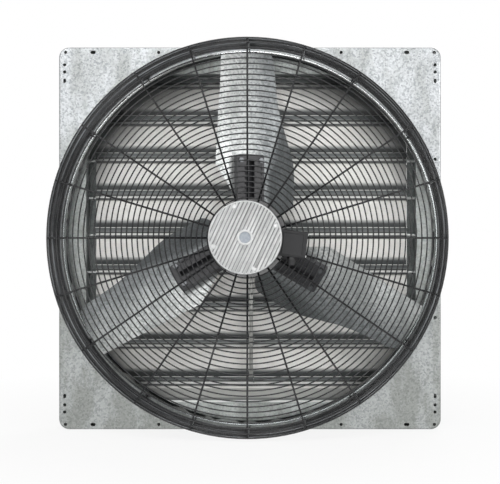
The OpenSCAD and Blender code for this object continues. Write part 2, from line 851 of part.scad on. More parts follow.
// Rear cap, with slanted ribs inside its rim, a ring round the disc and a pad for each bolt
module motor_rear_cap() {
    edge = 1;
    rim = 3.5;
    ring_w = 5;
    ring_h = rib_h + edge;
    pad_r = 2.5 * through_bolt_r;
    color("whitesmoke") difference() {
        union() {
            revolve() {
                translate([0, cap_rear]) square([cap_r - edge, cap_t]);
                translate([0, cap_rear + edge]) square([cap_r, cap_t - edge]);
                translate([cap_r - rim, cap_rear - rib_h + edge / 2]) square([rim - edge, rib_h]);
                spigot_2d(shell_rear - past);
                seat_2d(shell_rear - past, shell_rear + seat_clear + bearing_w + 1);
                translate([cap_disc_r + fit, cap_rear - ring_h]) square([ring_w, ring_h + past]);
            }
            difference() {
                intersection() {
                    bar_y(cap_r - rim + edge, cap_rear - 2 * rib_h, cap_rear + 2 * past);
                    turn(rib_angle) bar_x(-cap_r, cap_r) ribs_2d();
                }
                bar_y(cap_disc_r + ring_w / 2, cap_rear - 3 * rib_h, cap_rear + 3 * past);
                each_through_bolt() bar_y(pad_r - edge, cap_rear - 3 * rib_h, cap_rear + 3 * past);
            }
            each_through_bolt() bar_y(pad_r, cap_rear - rib_h / 2, cap_rear + past);
        }
        through_bolt_holes();
    }
}

// Plain disc in the middle of the cap
module cap_blank_disc() {
    color("slategray") bar_y(cap_disc_r, cap_rear - rib_h / 2, cap_rear);
}

module motor_front_bell() {
    edge = 4;
    bore = journal_r + 2 * fit;
    height = bell_front - shell_front;
    color("dimgray") difference() {
        revolve() {
            translate([bore, shell_front]) square([shell_r - edge - bore, height]);
            translate([bore, shell_front]) square([shell_r - fit - bore, height - edge]);
            spigot_2d(shell_front - spigot[1]);
            seat_2d(shell_front - seat_clear - bearing_w - 1, shell_front + past);
        }
        through_bolt_holes();
    }
}

// Long bolts that clamp the two end caps on the shell, each with its nut at the front
module motor_through_bolts() {
    head_y = cap_rear - rib_h / 2;
    head = 2.2;
    nut = 4;
    tail = bell_front + nut + 2;
    color("silver") each_through_bolt() {
        bar_y(1.8 * through_bolt_r, head_y - head, head_y);
        bar_y(through_bolt_r, head_y, tail);
        difference() {
            hex_y(2 * through_bolt_r, bell_front, nut);
            bar_y(through_bolt_r + run, bell_front - past, tail);
        }
    }
}

// Laminated core, with a winding in every slot
stack = [shell_rear + stack_rear, shell_front - stack_front];
winding_slots = 24;
slot_size = [16, 5];
slot_in_r = core_r + air_gap + 2.5;
end_turn = 20;

module stator_slots_2d(gap) {
    for (i = [0 : winding_slots - 1]) rotate((i + 0.5) * 360 / winding_slots)
        translate([slot_in_r + gap, gap - slot_size[1] / 2]) square(slot_size - 2 * [gap, gap]);
}

module motor_stator() {
    color("gray") difference() {
        plate(stack[0], stack[1] - stack[0]) difference() {
            circle(r = shell_in);
            circle(r = core_r + air_gap);
            stator_slots_2d(0);
        }
        through_bolt_holes();
    }
}

module stator_windings() {
    color("peru") {
        plate(stack[0] - past, stack[1] - stack[0] + 2 * past) stator_slots_2d(fit);
        for (y = [stack[0] - end_turn, stack[1] + fit])
            revolve() translate([slot_in_r + fit, y]) square([slot_size[0] - 2 * fit, end_turn - fit]);
    }
}

module bearing(y) {
    color("silver") bar_tube(bearing_r, journal_r + run, y, y + bearing_w);
}

module bearing_rear() {
    bearing(shell_rear + seat_clear);
}

module bearing_front() {
    bearing(shell_front - seat_clear - bearing_w);
}

// Box on the motor, square to the direction of box_angle, X outwards from the axis
module in_box() {
    turn(box_angle) translate([0, box_front, 0]) children();
}

module box_outline_2d(inset) {
    r = box_round - inset;
    w = box_size[1] - 2 * inset;
    h = box_size[0] - 2 * inset;
    translate([inset + r, -h / 2]) square([w - 2 * r, h]);
    translate([inset, -h / 2 + r]) square([w, h - 2 * r]);
    for (y = [inset + r, inset + w - r], z = [-1, 1] * (h / 2 - r)) translate([y, z]) circle(r = r, $fn = 32);
}

box_floor = shell_r + 1.4 * box_wall;
box_top = shell_r + box_size[2] - box_wall;
lid_screw_r = 1.6;
lid_screw_inset = 5.5;
lid_screw_grip = 12;
lid_lap = 0.6;

// Places of the lid's screws on the rim of the box
module each_lid_screw() {
    for (y = [lid_screw_inset, box_size[1] - lid_screw_inset], s = [-1, 1])
        translate([box_top, y, s * (box_size[0] / 2 - lid_screw_inset)]) rotate([0, 90, 0]) children();
}

// Box with a boss in each corner, seated on the round of the motor
module terminal_box() {
    boss_h = box_top - box_floor + past;
    color("#3a3b3d") difference() {
        in_box() {
            difference() {
                bar_x(shell_r - box_size[2] / 8, box_top) box_outline_2d(0);
                bar_x(box_floor, box_top + past) box_outline_2d(box_wall);
            }
            each_lid_screw() translate([0, 0, -boss_h]) cylinder(r = 2.5 * lid_screw_r, h = boss_h);
        }
        in_box() each_lid_screw() translate([0, 0, -lid_screw_grip - past])
            cylinder(r = lid_screw_r + run, h = lid_screw_grip + 2 * past);
        bar_y(shell_r, box_front - past, box_front + box_size[1] + past);
        lead_hole(box_floor + past);
        in_box() gland_place() translate([0, 0, -box_wall - past])
            cylinder(r = gland_r + fit, h = box_wall + 2 * past);
    }
}

module terminal_box_lid() {
    color("#414244") in_box() difference() {
        bar_x(box_top, box_top + lid_t) box_outline_2d(-lid_lap);
        each_lid_screw() translate([0, 0, -past]) cylinder(r = lid_screw_r + fit, h = lid_t + 2 * past);
    }
}

module terminal_box_screws() {
    head = 1.8;
    color("silver") in_box() each_lid_screw() {
        translate([0, 0, -lid_screw_grip]) cylinder(r = lid_screw_r, h = lid_screw_grip + lid_t);
        translate([0, 0, lid_t]) cylinder(r = 1.8 * lid_screw_r, h = head);
    }
}

// Block that the motor's leads are joined on, standing on the floor of the box
module terminal_block() {
    size = [13, 18, 40];
    ways = 4;
    pocket = [10, size[2] / ways - 4];
    color("ivory") in_box() translate([box_floor, (box_size[1] + size[1]) / 2, -size[2] / 2]) difference() {
        cube(size);
        for (i = [0 : ways - 1]) translate([size[0] - pocket[0] / 2, -past, i * size[2] / ways + 2])
            cube([pocket[0], size[1] + 2 * past, pocket[1]]);
    }
}

module gland_place() {
    translate([(box_floor + box_top) / 2, box_size[1] / 3, -box_size[0] / 2]) rotate([180, 0, 0]) children();
}

// Gland in the lower side of the box, with its locknut inside
module cord_gland() {
    locknut = 4;
    flange = 6;
    dome = 12;
    color("#2b2b2d") in_box() gland_place() difference() {
        union() {
            translate([0, 0, -box_wall - locknut]) cylinder(r = 1.35 * gland_r, h = locknut, $fn = 6);
            translate([0, 0, -box_wall - locknut]) cylinder(r = gland_r, h = box_wall + locknut + past);
            cylinder(r = 1.45 * gland_r, h = flange, $fn = 6);
            translate([0, 0, flange]) cylinder(r1 = 1.3 * gland_r, r2 = 0.95 * gland_r, h = dome);
        }
        translate([0, 0, -box_wall - locknut - past])
            cylinder(r = cord_r, h = box_wall + locknut + flange + dome + 2 * past);
    }
}

// The shaft is thickest inside the rotor core and steps down to its bearings and to the hub
shaft_end = hub_back - 1;
body_r = journal_r + 1.5;
retainer_depth = 22;

module motor_shaft() {
    rear = shell_rear + seat_clear;
    front = shell_front - seat_clear;
    color("silver") difference() {
        revolve() {
            translate([0, rear]) square([journal_r, front - rear]);
            translate([0, rear + bearing_w]) square([body_r, front - rear - 2 * bearing_w]);
            translate([0, front]) square([shaft_r, shaft_end - front]);
        }
        key_block(0);
        bar_y(retainer_r + run, shaft_end - retainer_depth, shaft_end + past);
    }
}

module rotor_core() {
    color("gray") bar_tube(core_r, body_r, stack[0], stack[1]);
}

// The key, larger all round by gap
module key_block(gap) {
    inset = 4;
    size = [key_w, hub_back - hub_front - 2 * inset, key_w] + 2 * [gap, gap, gap];
    translate([-size[0] / 2, hub_front + inset - gap, shaft_r - size[2] / 2]) cube(size);
}

module shaft_key() {
    color("gray") key_block(-run);
}

// Hub with a flat for each blade holder and a keyway from end to end
module blade_hub() {
    length = hub_back - hub_front;
    color("dimgray") difference() {
        plate(hub_front, length) intersection() {
            rotate(30) circle(r = 2 * hub_flat, $fn = 3);
            circle(r = hub_r);
        }
        bar_y(shaft_r + 0.02, hub_front - past, hub_back + past);
        translate([-key_w / 2, hub_front - past, 0]) cube([key_w, length + 2 * past, shaft_r + key_w / 2]);
        for (k = [0 : 2]) on_hub_bolt(k) translate([0, 0, hub_flat - hub_bolt_grip - 2])
            cylinder(r = hub_bolt_r + run, h = hub_bolt_grip + 2 + past);
    }
}

// Washer and screw that keep the hub on the shaft
module hub_retainer() {
    washer = 2.5;
    head = 4;
    color("silver") {
        bar_tube(2 * shaft_r, retainer_r + run, hub_back, hub_back + washer);
        bar_y(retainer_r, shaft_end - retainer_depth + 2, hub_back + washer);
        hex_y(2 * retainer_r, hub_back + washer, head);
    }
}

// Local frame of blade k: Z outwards, X along the chord, +Y behind the blade's front face
module on_blade(k) {
    turn(120 * k) translate([0, root_y, 0]) rotate([0, 0, holder_pitch]) children();
}

module on_hub_bolt(k) {
    on_blade(k) translate([holder_shift + slot_shift, -holder_size[1] / 2, 0]) children();
}

blade_bolt_zs = [holder_end - 118, holder_end - 14];
blade_bolt_u = holder_size[0] / 2 - 9;
hub_bolt_grip = 20;
slot_start = hub_flat + 18;

module each_blade_bolt(k) {
    on_blade(k) for (u = [-1, 1], z = blade_bolt_zs)
        translate([u * blade_bolt_u + holder_shift, 0, z]) rotate([90, 0, 0]) children();
}

// Moulded holder: a rounded block with a long slot for its hub bolt and cross grooves
module blade_holder(k) {
    w = holder_size[0];
    d = holder_size[1];
    r = 6;
    slot_end = holder_end - 16;
    slot_floor = 4;
    groove = [w / 2 - holder_slot / 2 - 12, 4, 7];
    groove_x = (w + holder_slot) / 4;
    groove_pitch = 12;
    z0 = blade_bolt_zs[0];
    z1 = blade_bolt_zs[1];
    color("#2c2c2e") difference() {
        on_blade(k) translate([holder_shift, 0, 0]) difference() {
            union() {
                translate([-w / 2, -d, hub_flat]) cube([w, d, holder_end - hub_flat - r]);
                translate([-w / 2 + r, -d, hub_flat]) cube([w - 2 * r, d, holder_end - hub_flat]);
                for (s = [-1, 1]) translate([s * (w / 2 - r), 0, holder_end - r])
                    rotate([90, 0, 0]) cylinder(r = r, h = d);
            }
            translate([slot_shift - holder_slot / 2, -d - past, slot_start])
                cube([holder_slot, d - slot_floor + past, slot_end - slot_start]);
            for (s = [-1, 1], z = [z0 + groove_pitch : groove_pitch : z1 - groove_pitch])
                translate([s * groove_x + (slot_shift - groove[0]) / 2, -d - past, z - groove[2] / 2])
                    cube(groove + [0, past, 0]);
        }
        on_hub_bolt(k) cylinder(r = hub_bolt_r + run, h = slot_start + past);
        each_blade_bolt(k) translate([0, 0, -past]) cylinder(r = blade_bolt_r + run, h = d + 2 * past);
    }
}

// Hub bolts: their heads sit at the bottom of the holders' slots
module holder_bolts() {
    head = 5;
    color("silver") for (k = [0 : 2]) on_hub_bolt(k) {
        translate([0, 0, hub_flat - hub_bolt_grip])
            cylinder(r = hub_bolt_r, h = slot_start - hub_flat + hub_bolt_grip);
        translate([0, 0, slot_start]) cylinder(r = 1.7 * hub_bolt_r, h = head, $fn = 6);
    }
}

// Bolts through holder and blade, each with its nut behind
module blade_bolts() {
    d = holder_size[1];
    head_r = 1.65 * blade_bolt_r;
    head = 4;
    nut = 6;
    nut_face = -blade_t - fit;
    tail = nut_face - nut - 3;
    color("whitesmoke") for (k = [0 : 2]) each_blade_bolt(k) {
        translate([0, 0, d]) cylinder(r = head_r, h = head, $fn = 6);
        translate([0, 0, tail]) cylinder(r = blade_bolt_r, h = d - tail);
        difference() {
            translate([0, 0, nut_face - nut]) cylinder(r = head_r, h = nut, $fn = 6);
            translate([0, 0, tail]) cylinder(r = blade_bolt_r + run, h = -tail);
        }
    }
}

// Outline of the top blade seen from the front: edges against distance along the blade
left_edge = [[60, -36], [106, -36], [122, -46], [180, -80], [210, -79], [310, -74.5], [380, -70],
    [457, -68.5]];
right_edge = [[60, 78], [66, 92], [74, 102], [84, 108], [158, 111], [195, 109], [227, 98], [271, 85],
    [296, 77], [333, 70], [390, 63.5], [440, 61.5], [457, 54]];
fold_line = [[60, 46], [79, 45], [141, 44], [193, 54], [225, 63], [300, 78], [457, 120]];
stations = [60, 66, 74, 84, 106, 122, 150, 180, 210, 240, 271, 296, 333, 370, 410, 440, 457];
chord_steps = 16;

function blend(z) = max(0, (z - flat_z) / (457 - flat_z));
function fold(d) = d > 0 ? fold_slope * d * d / (d + 14) : 0;
function slope(z) = root_slope + (tip_slope - root_slope) * blend(z);
function face_y(x, z) = root_y + (tip_y - root_y) * blend(z) + slope(z) * x + fold(x - lookup(z, fold_line))
    + 5 * blend(z) * pow(x / 65, 2);
function span_z(x, s) = let (w = max(0, (s - 300) / 157), z = s * tip_r / 457)
    z - w * (tip_r - sqrt(tip_r * tip_r - x * x));
function chord_x(s, j) = let (l = lookup(s, left_edge), r = lookup(s, right_edge))
    l + (r - l) * j / chord_steps;
function blade_point(i, j, back) = let (s = stations[i], x = chord_x(s, j))
    [x, face_y(x, s) + back * blade_t * sqrt(1 + pow(slope(s), 2)), span_z(x, s)];

module blade(k) {
    m = len(stations) - 1;
    n = chord_steps;
    row = n + 1;
    side = (m + 1) * row;
    points = [for (back = [0, 1], i = [0 : m], j = [0 : n]) blade_point(i, j, back)];
    fronts = [for (i = [0 : m - 1], j = [0 : n - 1]) let (a = i * row + j)
        each [[a, a + row, a + row + 1], [a, a + row + 1, a + 1]]];
    backs = [for (f = fronts) [f[2] + side, f[1] + side, f[0] + side]];
    rims = [
        for (j = [0 : n - 1]) each quad(j, j + 1, j + 1 + side, j + side),
        for (j = [0 : n - 1]) let (a = m * row + j) each quad(a + 1, a, a + side, a + 1 + side),
        for (i = [0 : m - 1]) let (a = i * row) each quad(a, a + side, a + row + side, a + row),
        for (i = [0 : m - 1]) let (a = i * row + n) each quad(a, a + row, a + row + side, a + side)
    ];
    color("gainsboro") difference() {
        turn(120 * k) polyhedron(points, concat(fronts, backs, rims));
        each_blade_bolt(k) translate([0, 0, -4 * blade_t])
            cylinder(r = blade_bolt_r + fit, h = 8 * blade_t, $fn = 24);
    }
}

function quad(a, b, c, d) = [[a, b, c], [a, c, d]];

panel();
orifice_ring();
housing_side_left();
housing_side_right();
housing_top();
housing_bottom();
housing_rivets();
shutter_jamb_left();
shutter_jamb_right();
shutter_header();
shutter_sill();
slat_pivot_pins();
guard_side_cage();
guard_side_stays();
guard_face_rings_outer();
guard_face_rings_inner();
guard_face_spokes();
guard_hub_plate();
guard_feet();
guard_hooks();
guard_screws();
motor_shell();
motor_rear_cap();
cap_blank_disc();
motor_front_bell();
motor_stator();
stator_windings();
motor_through_bolts();
bearing_rear();
bearing_front();
motor_mount_screws();
terminal_box();
terminal_box_lid();
terminal_box_screws();
terminal_block();
cord_gland();
motor_shaft();
rotor_core();
shaft_key();
blade_hub();
hub_retainer();
blade_holder(0);  // blade_holder_1
blade_holder(1);  // blade_holder_2
blade_holder(2);  // blade_holder_3
blade(0);  // blade_1
blade(1);  // blade_2
blade(2);  // blade_3
blade_bolts();
holder_bolts();
slat(1);  // slat_1
slat(2);  // slat_2
slat(3);  // slat_3
slat(4);  // slat_4
slat(5);  // slat_5
slat(6);  // slat_6
slat(7);  // slat_7
slat(8);  // slat_8
slat(9);  // slat_9
tie_bar();
tie_pins();
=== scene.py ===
import json
import math
import random

import bpy
from mathutils import Matrix, Vector

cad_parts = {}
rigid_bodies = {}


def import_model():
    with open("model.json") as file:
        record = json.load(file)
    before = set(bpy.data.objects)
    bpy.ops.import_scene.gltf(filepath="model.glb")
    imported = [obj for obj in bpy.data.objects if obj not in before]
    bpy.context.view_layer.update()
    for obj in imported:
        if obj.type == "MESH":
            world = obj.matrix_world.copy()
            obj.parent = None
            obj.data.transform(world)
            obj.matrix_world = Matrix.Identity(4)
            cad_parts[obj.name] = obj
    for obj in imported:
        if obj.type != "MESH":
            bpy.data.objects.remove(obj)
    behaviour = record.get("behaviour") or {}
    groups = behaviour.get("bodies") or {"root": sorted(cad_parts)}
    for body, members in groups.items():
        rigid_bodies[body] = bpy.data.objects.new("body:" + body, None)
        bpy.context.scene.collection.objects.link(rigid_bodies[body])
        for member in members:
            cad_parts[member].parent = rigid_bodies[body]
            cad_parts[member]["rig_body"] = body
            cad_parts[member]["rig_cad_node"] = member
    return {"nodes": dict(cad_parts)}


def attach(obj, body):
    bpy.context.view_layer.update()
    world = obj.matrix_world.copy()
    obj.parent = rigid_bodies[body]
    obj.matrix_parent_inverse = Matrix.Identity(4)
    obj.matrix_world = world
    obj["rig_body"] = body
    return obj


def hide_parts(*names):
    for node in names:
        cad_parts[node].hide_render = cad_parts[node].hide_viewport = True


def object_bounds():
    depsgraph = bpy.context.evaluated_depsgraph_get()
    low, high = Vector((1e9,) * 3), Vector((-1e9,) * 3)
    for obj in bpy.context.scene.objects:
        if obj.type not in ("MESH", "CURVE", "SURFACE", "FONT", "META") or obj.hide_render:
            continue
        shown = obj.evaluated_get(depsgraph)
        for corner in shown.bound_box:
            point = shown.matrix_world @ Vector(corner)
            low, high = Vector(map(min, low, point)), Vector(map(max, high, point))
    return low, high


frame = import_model()
nodes = frame["nodes"]
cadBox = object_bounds()
bpy.ops.object.select_all(action="DESELECT")
print("frame loaded:", len(nodes), "nodes")


def linearColour(hexText):
    # sRGB hex as a maker writes it, turned to the linear values that nodes use
    parts = [int(hexText[i:i + 2], 16) / 255 for i in (1, 3, 5)]
    return [p / 12.92 if p <= 0.04045 else ((p + 0.055) / 1.055) ** 2.4 for p in parts] + [1.0]


def perMm(size):
    # pattern scale for a feature of this many millimetres
    return 1000.0 / size


def addNode(tree, kind, settings=None, links=None):
    node = tree.nodes.new(kind)
    for name, value in (settings or {}).items():
        if isinstance(name, int) or name in node.inputs:
            node.inputs[name].default_value = value
        else:
            setattr(node, name, value)
    for name, socket in (links or {}).items():
        tree.links.new(socket, node.inputs[name])
    return node


def startFinish(name, settings):
    # a material with its shader's constant sockets set, ready for its pattern
    material = bpy.data.materials.new(name)
    material.use_nodes = True
    tree = material.node_tree
    shader = tree.nodes["Principled BSDF"]
    for socket, value in settings.items():
        shader.inputs[socket].default_value = value
    place = addNode(tree, "ShaderNodeTexCoord")
    return material, tree, shader, place.outputs["Object"]


def finishSurface(tree, shader, colour, gloss, roughness, height, values):
    # the colour, and a roughness and a bump that follow the patterns the eye sees
    tree.links.new(colour, shader.inputs["Base Color"])
    polish = addNode(tree, "ShaderNodeMapRange",
                     {"To Min": roughness[0], "To Max": roughness[1]}, {"Value": gloss})
    tree.links.new(polish.outputs["Result"], shader.inputs["Roughness"])
    lift = addNode(tree, "ShaderNodeBump",
                   {"Strength": values["bump"], "Distance": values["liftMm"] / 1000},
                   {"Height": height})
    tree.links.new(lift.outputs["Normal"], shader.inputs["Normal"])


def dress(material, *names):
    # a CAD node keeps its mesh and gets the finish in its own slots
    for name in names:
        node = nodes[name]
        if not node.material_slots:
            node.data.materials.append(material)
        for slot in node.material_slots:
            slot.link = "OBJECT"
            slot.material = material


galvanised = {"bright": "#cdd0d2", "dull": "#878c90",
              # size of a crystal and of the fine grain, and the weight of the grain
              "spangleMm": 3.8, "grainMm": 1.4, "grain": 0.6,
              # clouds of older zinc, drawn out downwards, and the noise levels where they
              # begin and are full
              "cloud": "#979a97", "cloudDull": "#787b79", "cloudMm": 60.0, "runMm": 170.0,
              "cloudFrom": 0.42, "cloudTo": 0.66, "cloudShare": 0.7,
              # heights between which painted shade grows, with some stain: darker and more olive
              # towards the bottom
              "stainShadeTop": 0.3, "stainShadeLow": -0.45, "stainAndShade": 0.7,
              "smooth": 0.36, "rough": 0.56, "bump": 0.6, "liftMm": 0.05}
# the housing and sill get a lighter copy of the same zinc: painted light on these shaded sides
housingSheet = dict(galvanised, bright="#d4d8d6", dull="#aeb4b1", stainAndShade=0.0)
# the shutter frame gets a darker copy of the zinc: painted shade for its channels in shadow
shadedFrameSheet = dict(galvanised, bright="#6c706f", dull="#505454", cloud="#424544",
                  cloudDull="#3a3d3c", stainAndShade=0.0)
# the sill's upturned edge: middle and half height of a painted highlight line along it
sillSheet = dict(housingSheet, edgeHighlight="#fbfbfa", edgeHighlightAt=-0.4208, edgeHighlightHalf=0.0022)
bladeSheet = dict(galvanised, bright="#eff1f0", dull="#8f9594", cloud="#a8abaa",
                  cloudDull="#a0a3a2", stainAndShade=0.0, spangleMm=4.0,
                  # distance across the blade over which painted shade grows, from the bright
                  # leading edge to the fold
                  edgeAt=-0.055, foldAt=0.04, dustAndShade="#aaacae",
                  # how squarely a face looks along the axis, where the painted shade on the fold
                  # begins and is full, and how far the fold's metallic share drops there
                  flatTo=0.88, foldFrom=0.72, fold="#dcdedf", film=0.55)
# angle of each blade, and duller tones on the second and third: painted shade that evens out how
# the lamps fall on each
blades = [dict(bladeSheet, angle=90.0),
          dict(bladeSheet, angle=210.0, bright="#dfe1e0", dull="#828887"),
          dict(bladeSheet, angle=330.0, bright="#e4e6e5", dull="#888e8d")]


def paintedBladeShade(tree, shader, place, colour, values):
    # painted shade darkens the blade across its chord, from the bright leading edge towards the
    # fold
    turn = math.radians(values["angle"])
    across = addNode(tree, "ShaderNodeVectorMath",
                     {"operation": "DOT_PRODUCT", 1: (math.sin(turn), 0.0, -math.cos(turn))},
                     {0: place})
    chordShade = addNode(tree, "ShaderNodeMapRange",
                    {"From Min": values["edgeAt"], "From Max": values["foldAt"]},
                    {"Value": across.outputs["Value"]})
    shadedTone = addNode(tree, "ShaderNodeMix",
                    {"data_type": "RGBA", "blend_type": "MULTIPLY",
                     7: linearColour(values["dustAndShade"])},
                    {0: chordShade.outputs["Result"], 6: colour})
    # the folded trailing part leans far from the fan's plane: painted shade darkens it by that
    # lean, and it is less metallic there
    normal = addNode(tree, "ShaderNodeTexCoord")
    facing = addNode(tree, "ShaderNodeSeparateXYZ", {}, {"Vector": normal.outputs["Normal"]})
    flat = addNode(tree, "ShaderNodeMath", {"operation": "ABSOLUTE"}, {0: facing.outputs["Y"]})
    lean = addNode(tree, "ShaderNodeMapRange",
                   {"From Min": values["flatTo"], "From Max": values["foldFrom"]},
                   {"Value": flat.outputs["Value"]})
    foldShaded = addNode(tree, "ShaderNodeMix",
                     {"data_type": "RGBA", "blend_type": "MULTIPLY",
                      7: linearColour(values["fold"])},
                     {0: lean.outputs["Result"], 6: shadedTone.outputs[2]})
    bare = addNode(tree, "ShaderNodeMapRange", {"To Min": 1.0, "To Max": 1.0 - values["film"]},
                   {"Value": lean.outputs["Result"]})
    tree.links.new(bare.outputs["Result"], shader.inputs["Metallic"])
    return foldShaded.outputs[2]


def paintedEdgeHighlight(tree, shader, height, colour, values):
    # a painted highlight: a thin white line along the sill's upturned edge, not metallic there
    edgeHighlight = addNode(tree, "ShaderNodeMath",
                    {"operation": "COMPARE", 1: values["edgeHighlightAt"], 2: values["edgeHighlightHalf"]},
                    {0: height})
    highlighted = addNode(tree, "ShaderNodeMix",
                    {"data_type": "RGBA", 7: linearColour(values["edgeHighlight"])},
                    {0: edgeHighlight.outputs["Value"], 6: colour})
    bare = addNode(tree, "ShaderNodeMath", {"operation": "SUBTRACT", 0: 1.0},
                   {1: edgeHighlight.outputs["Value"]})
    tree.links.new(bare.outputs["Value"], shader.inputs["Metallic"])
    return highlighted.outputs[2]


def galvanisedSheet(name, values):
    # hot-dip galvanised sheet: zinc froze in flat crystals, so the eye sees a fine mottled spangle
    material, tree, shader, place = startFinish(name, {"Metallic": 1.0})
    crystal = addNode(tree, "ShaderNodeTexVoronoi",
                      {"Scale": perMm(values["spangleMm"]), "Randomness": 1.0}, {"Vector": place})
    tone = addNode(tree, "ShaderNodeSeparateColor", {}, {"Color": crystal.outputs["Color"]})
    grain = addNode(tree, "ShaderNodeTexNoise", {"Scale": perMm(values["grainMm"]), "Detail": 3.0},
                    {"Vector": place})
    drawn = (perMm(values["cloudMm"]), perMm(values["cloudMm"]), perMm(values["runMm"]))
    drained = addNode(tree, "ShaderNodeMapping", {"Scale": drawn}, {"Vector": place})
    cloud = addNode(tree, "ShaderNodeTexNoise", {"Scale": 1.0, "Detail": 5.0, "Roughness": 0.62},
                    {"Vector": drained.outputs["Vector"]})
    mottle = addNode(tree, "ShaderNodeMath", {"operation": "MULTIPLY_ADD", 1: values["grain"]},
                     {0: grain.outputs["Fac"], 2: tone.outputs["Red"]})
    zinc = addNode(tree, "ShaderNodeMix",
                   {"data_type": "RGBA", 6: linearColour(values["dull"]),
                    7: linearColour(values["bright"])}, {0: mottle.outputs["Value"]})
    patch = addNode(tree, "ShaderNodeMapRange",
                    {"From Min": values["cloudFrom"], "From Max": values["cloudTo"],
                     "To Max": values["cloudShare"]}, {"Value": cloud.outputs["Fac"]})
    apart = addNode(tree, "ShaderNodeSeparateXYZ", {}, {"Vector": place})
    # painted shade with some stain: the sheet darkens towards the bottom
    stainAndShade = addNode(tree, "ShaderNodeMapRange",
                    {"From Min": values["stainShadeTop"], "From Max": values["stainShadeLow"],
                     "To Max": values["stainAndShade"]}, {"Value": apart.outputs["Z"]})
    grimeAndShade = addNode(tree, "ShaderNodeMath", {"operation": "ADD", "use_clamp": True},
                    {0: patch.outputs["Result"], 1: stainAndShade.outputs["Result"]})
    aged = addNode(tree, "ShaderNodeMix",
                   {"data_type": "RGBA", 6: linearColour(values["cloudDull"]),
                    7: linearColour(values["cloud"])}, {0: mottle.outputs["Value"]})
    tinted = addNode(tree, "ShaderNodeMix", {"data_type": "RGBA"},
                     {0: grimeAndShade.outputs["Value"], 6: zinc.outputs[2], 7: aged.outputs[2]})
    colour = tinted.outputs[2]
    # painted shade on the blades, across the chord and on the fold
    if "angle" in values:
        colour = paintedBladeShade(tree, shader, place, colour, values)
    # a painted highlight line along the sill's edge
    if "edgeHighlight" in values:
        colour = paintedEdgeHighlight(tree, shader, apart.outputs["Z"], colour, values)
    finishSurface(tree, shader, colour, tone.outputs["Green"],
                  (values["smooth"], values["rough"]), mottle.outputs["Value"], values)
    return material


rolledLip = {"bright": "#eceeee", "dull": "#c6caca", "streakMm": 3.0,
             # painted shade on the throat behind the lip, between these depths
             "throat": "#3f4343", "wallStart": 0.0015, "wallEnd": 0.0365,
             # painted shade dulls the lip from here down, so its highlight stays at the top
             "dustAndShade": "#b0b3b3", "brightTop": 0.3, "shadeLow": 0.05,
             "smooth": 0.23, "rough": 0.3, "bump": 0.05, "liftMm": 0.04}


def spunSteel(name, values):
    # zinc-coated ring rolled and spun to shape: the tool left faint rings and polished the bend
    material, tree, shader, place = startFinish(name, {"Metallic": 1.0})
    apart = addNode(tree, "ShaderNodeSeparateXYZ", {}, {"Vector": place})
    level = addNode(tree, "ShaderNodeVectorMath", {"operation": "MULTIPLY", 1: (1.0, 0.0, 1.0)},
                    {0: place})
    radius = addNode(tree, "ShaderNodeVectorMath", {"operation": "LENGTH"},
                     {0: level.outputs["Vector"]})
    rings = addNode(tree, "ShaderNodeCombineXYZ", {},
                    {"X": radius.outputs["Value"], "Y": apart.outputs["Y"]})
    streak = addNode(tree, "ShaderNodeTexNoise",
                     {"Scale": perMm(values["streakMm"]), "Detail": 4.0},
                     {"Vector": rings.outputs["Vector"]})
    zinc = addNode(tree, "ShaderNodeMix",
                   {"data_type": "RGBA", 6: linearColour(values["dull"]),
                    7: linearColour(values["bright"])}, {0: streak.outputs["Fac"]})
    behind = addNode(tree, "ShaderNodeMath", {"operation": "GREATER_THAN", 1: values["wallStart"]},
                     {0: apart.outputs["Y"]})
    before = addNode(tree, "ShaderNodeMath", {"operation": "LESS_THAN", 1: values["wallEnd"]},
                     {0: apart.outputs["Y"]})
    wall = addNode(tree, "ShaderNodeMath", {"operation": "MULTIPLY"},
                   {0: behind.outputs["Value"], 1: before.outputs["Value"]})
    # painted shade on the throat wall
    toned = addNode(tree, "ShaderNodeMix",
                    {"data_type": "RGBA", 7: linearColour(values["throat"])},
                    {0: wall.outputs["Value"], 6: zinc.outputs[2]})
    # painted shade growing down the lip
    downwardShade = addNode(tree, "ShaderNodeMapRange",
                      {"From Min": values["brightTop"], "From Max": values["shadeLow"]},
                      {"Value": apart.outputs["Z"]})
    shadedTone = addNode(tree, "ShaderNodeMix",
                    {"data_type": "RGBA", "blend_type": "MULTIPLY",
                     7: linearColour(values["dustAndShade"])},
                    {0: downwardShade.outputs["Result"], 6: toned.outputs[2]})
    finishSurface(tree, shader, shadedTone.outputs[2], streak.outputs["Fac"],
                  (values["smooth"], values["rough"]), streak.outputs["Fac"], values)
    return material


coatedWire = {"skin": "#151618", "worn": "#303234", "pebbleMm": 0.9, "wearMm": 14.0,
              # noise levels where the wear begins and is full, and its greatest share
              "wearFrom": 0.52, "wearTo": 0.72, "wearShare": 0.55,
              # some side rings, picked at random, get pale stretches: a painted sheen
              # that stands for highlights along the wires
              "firstRing": -0.0088, "ringPitch": 0.0123, "sheenTone": "#8d9093", "stretchMm": 150.0,
              "sheenRingFrom": 0.5, "sheenRingTo": 0.65,
              "stretchFrom": 0.4, "stretchTo": 0.62, "stretchLeast": 0.15,
              "smooth": 0.12, "rough": 0.26, "bump": 0.1, "liftMm": 0.04}


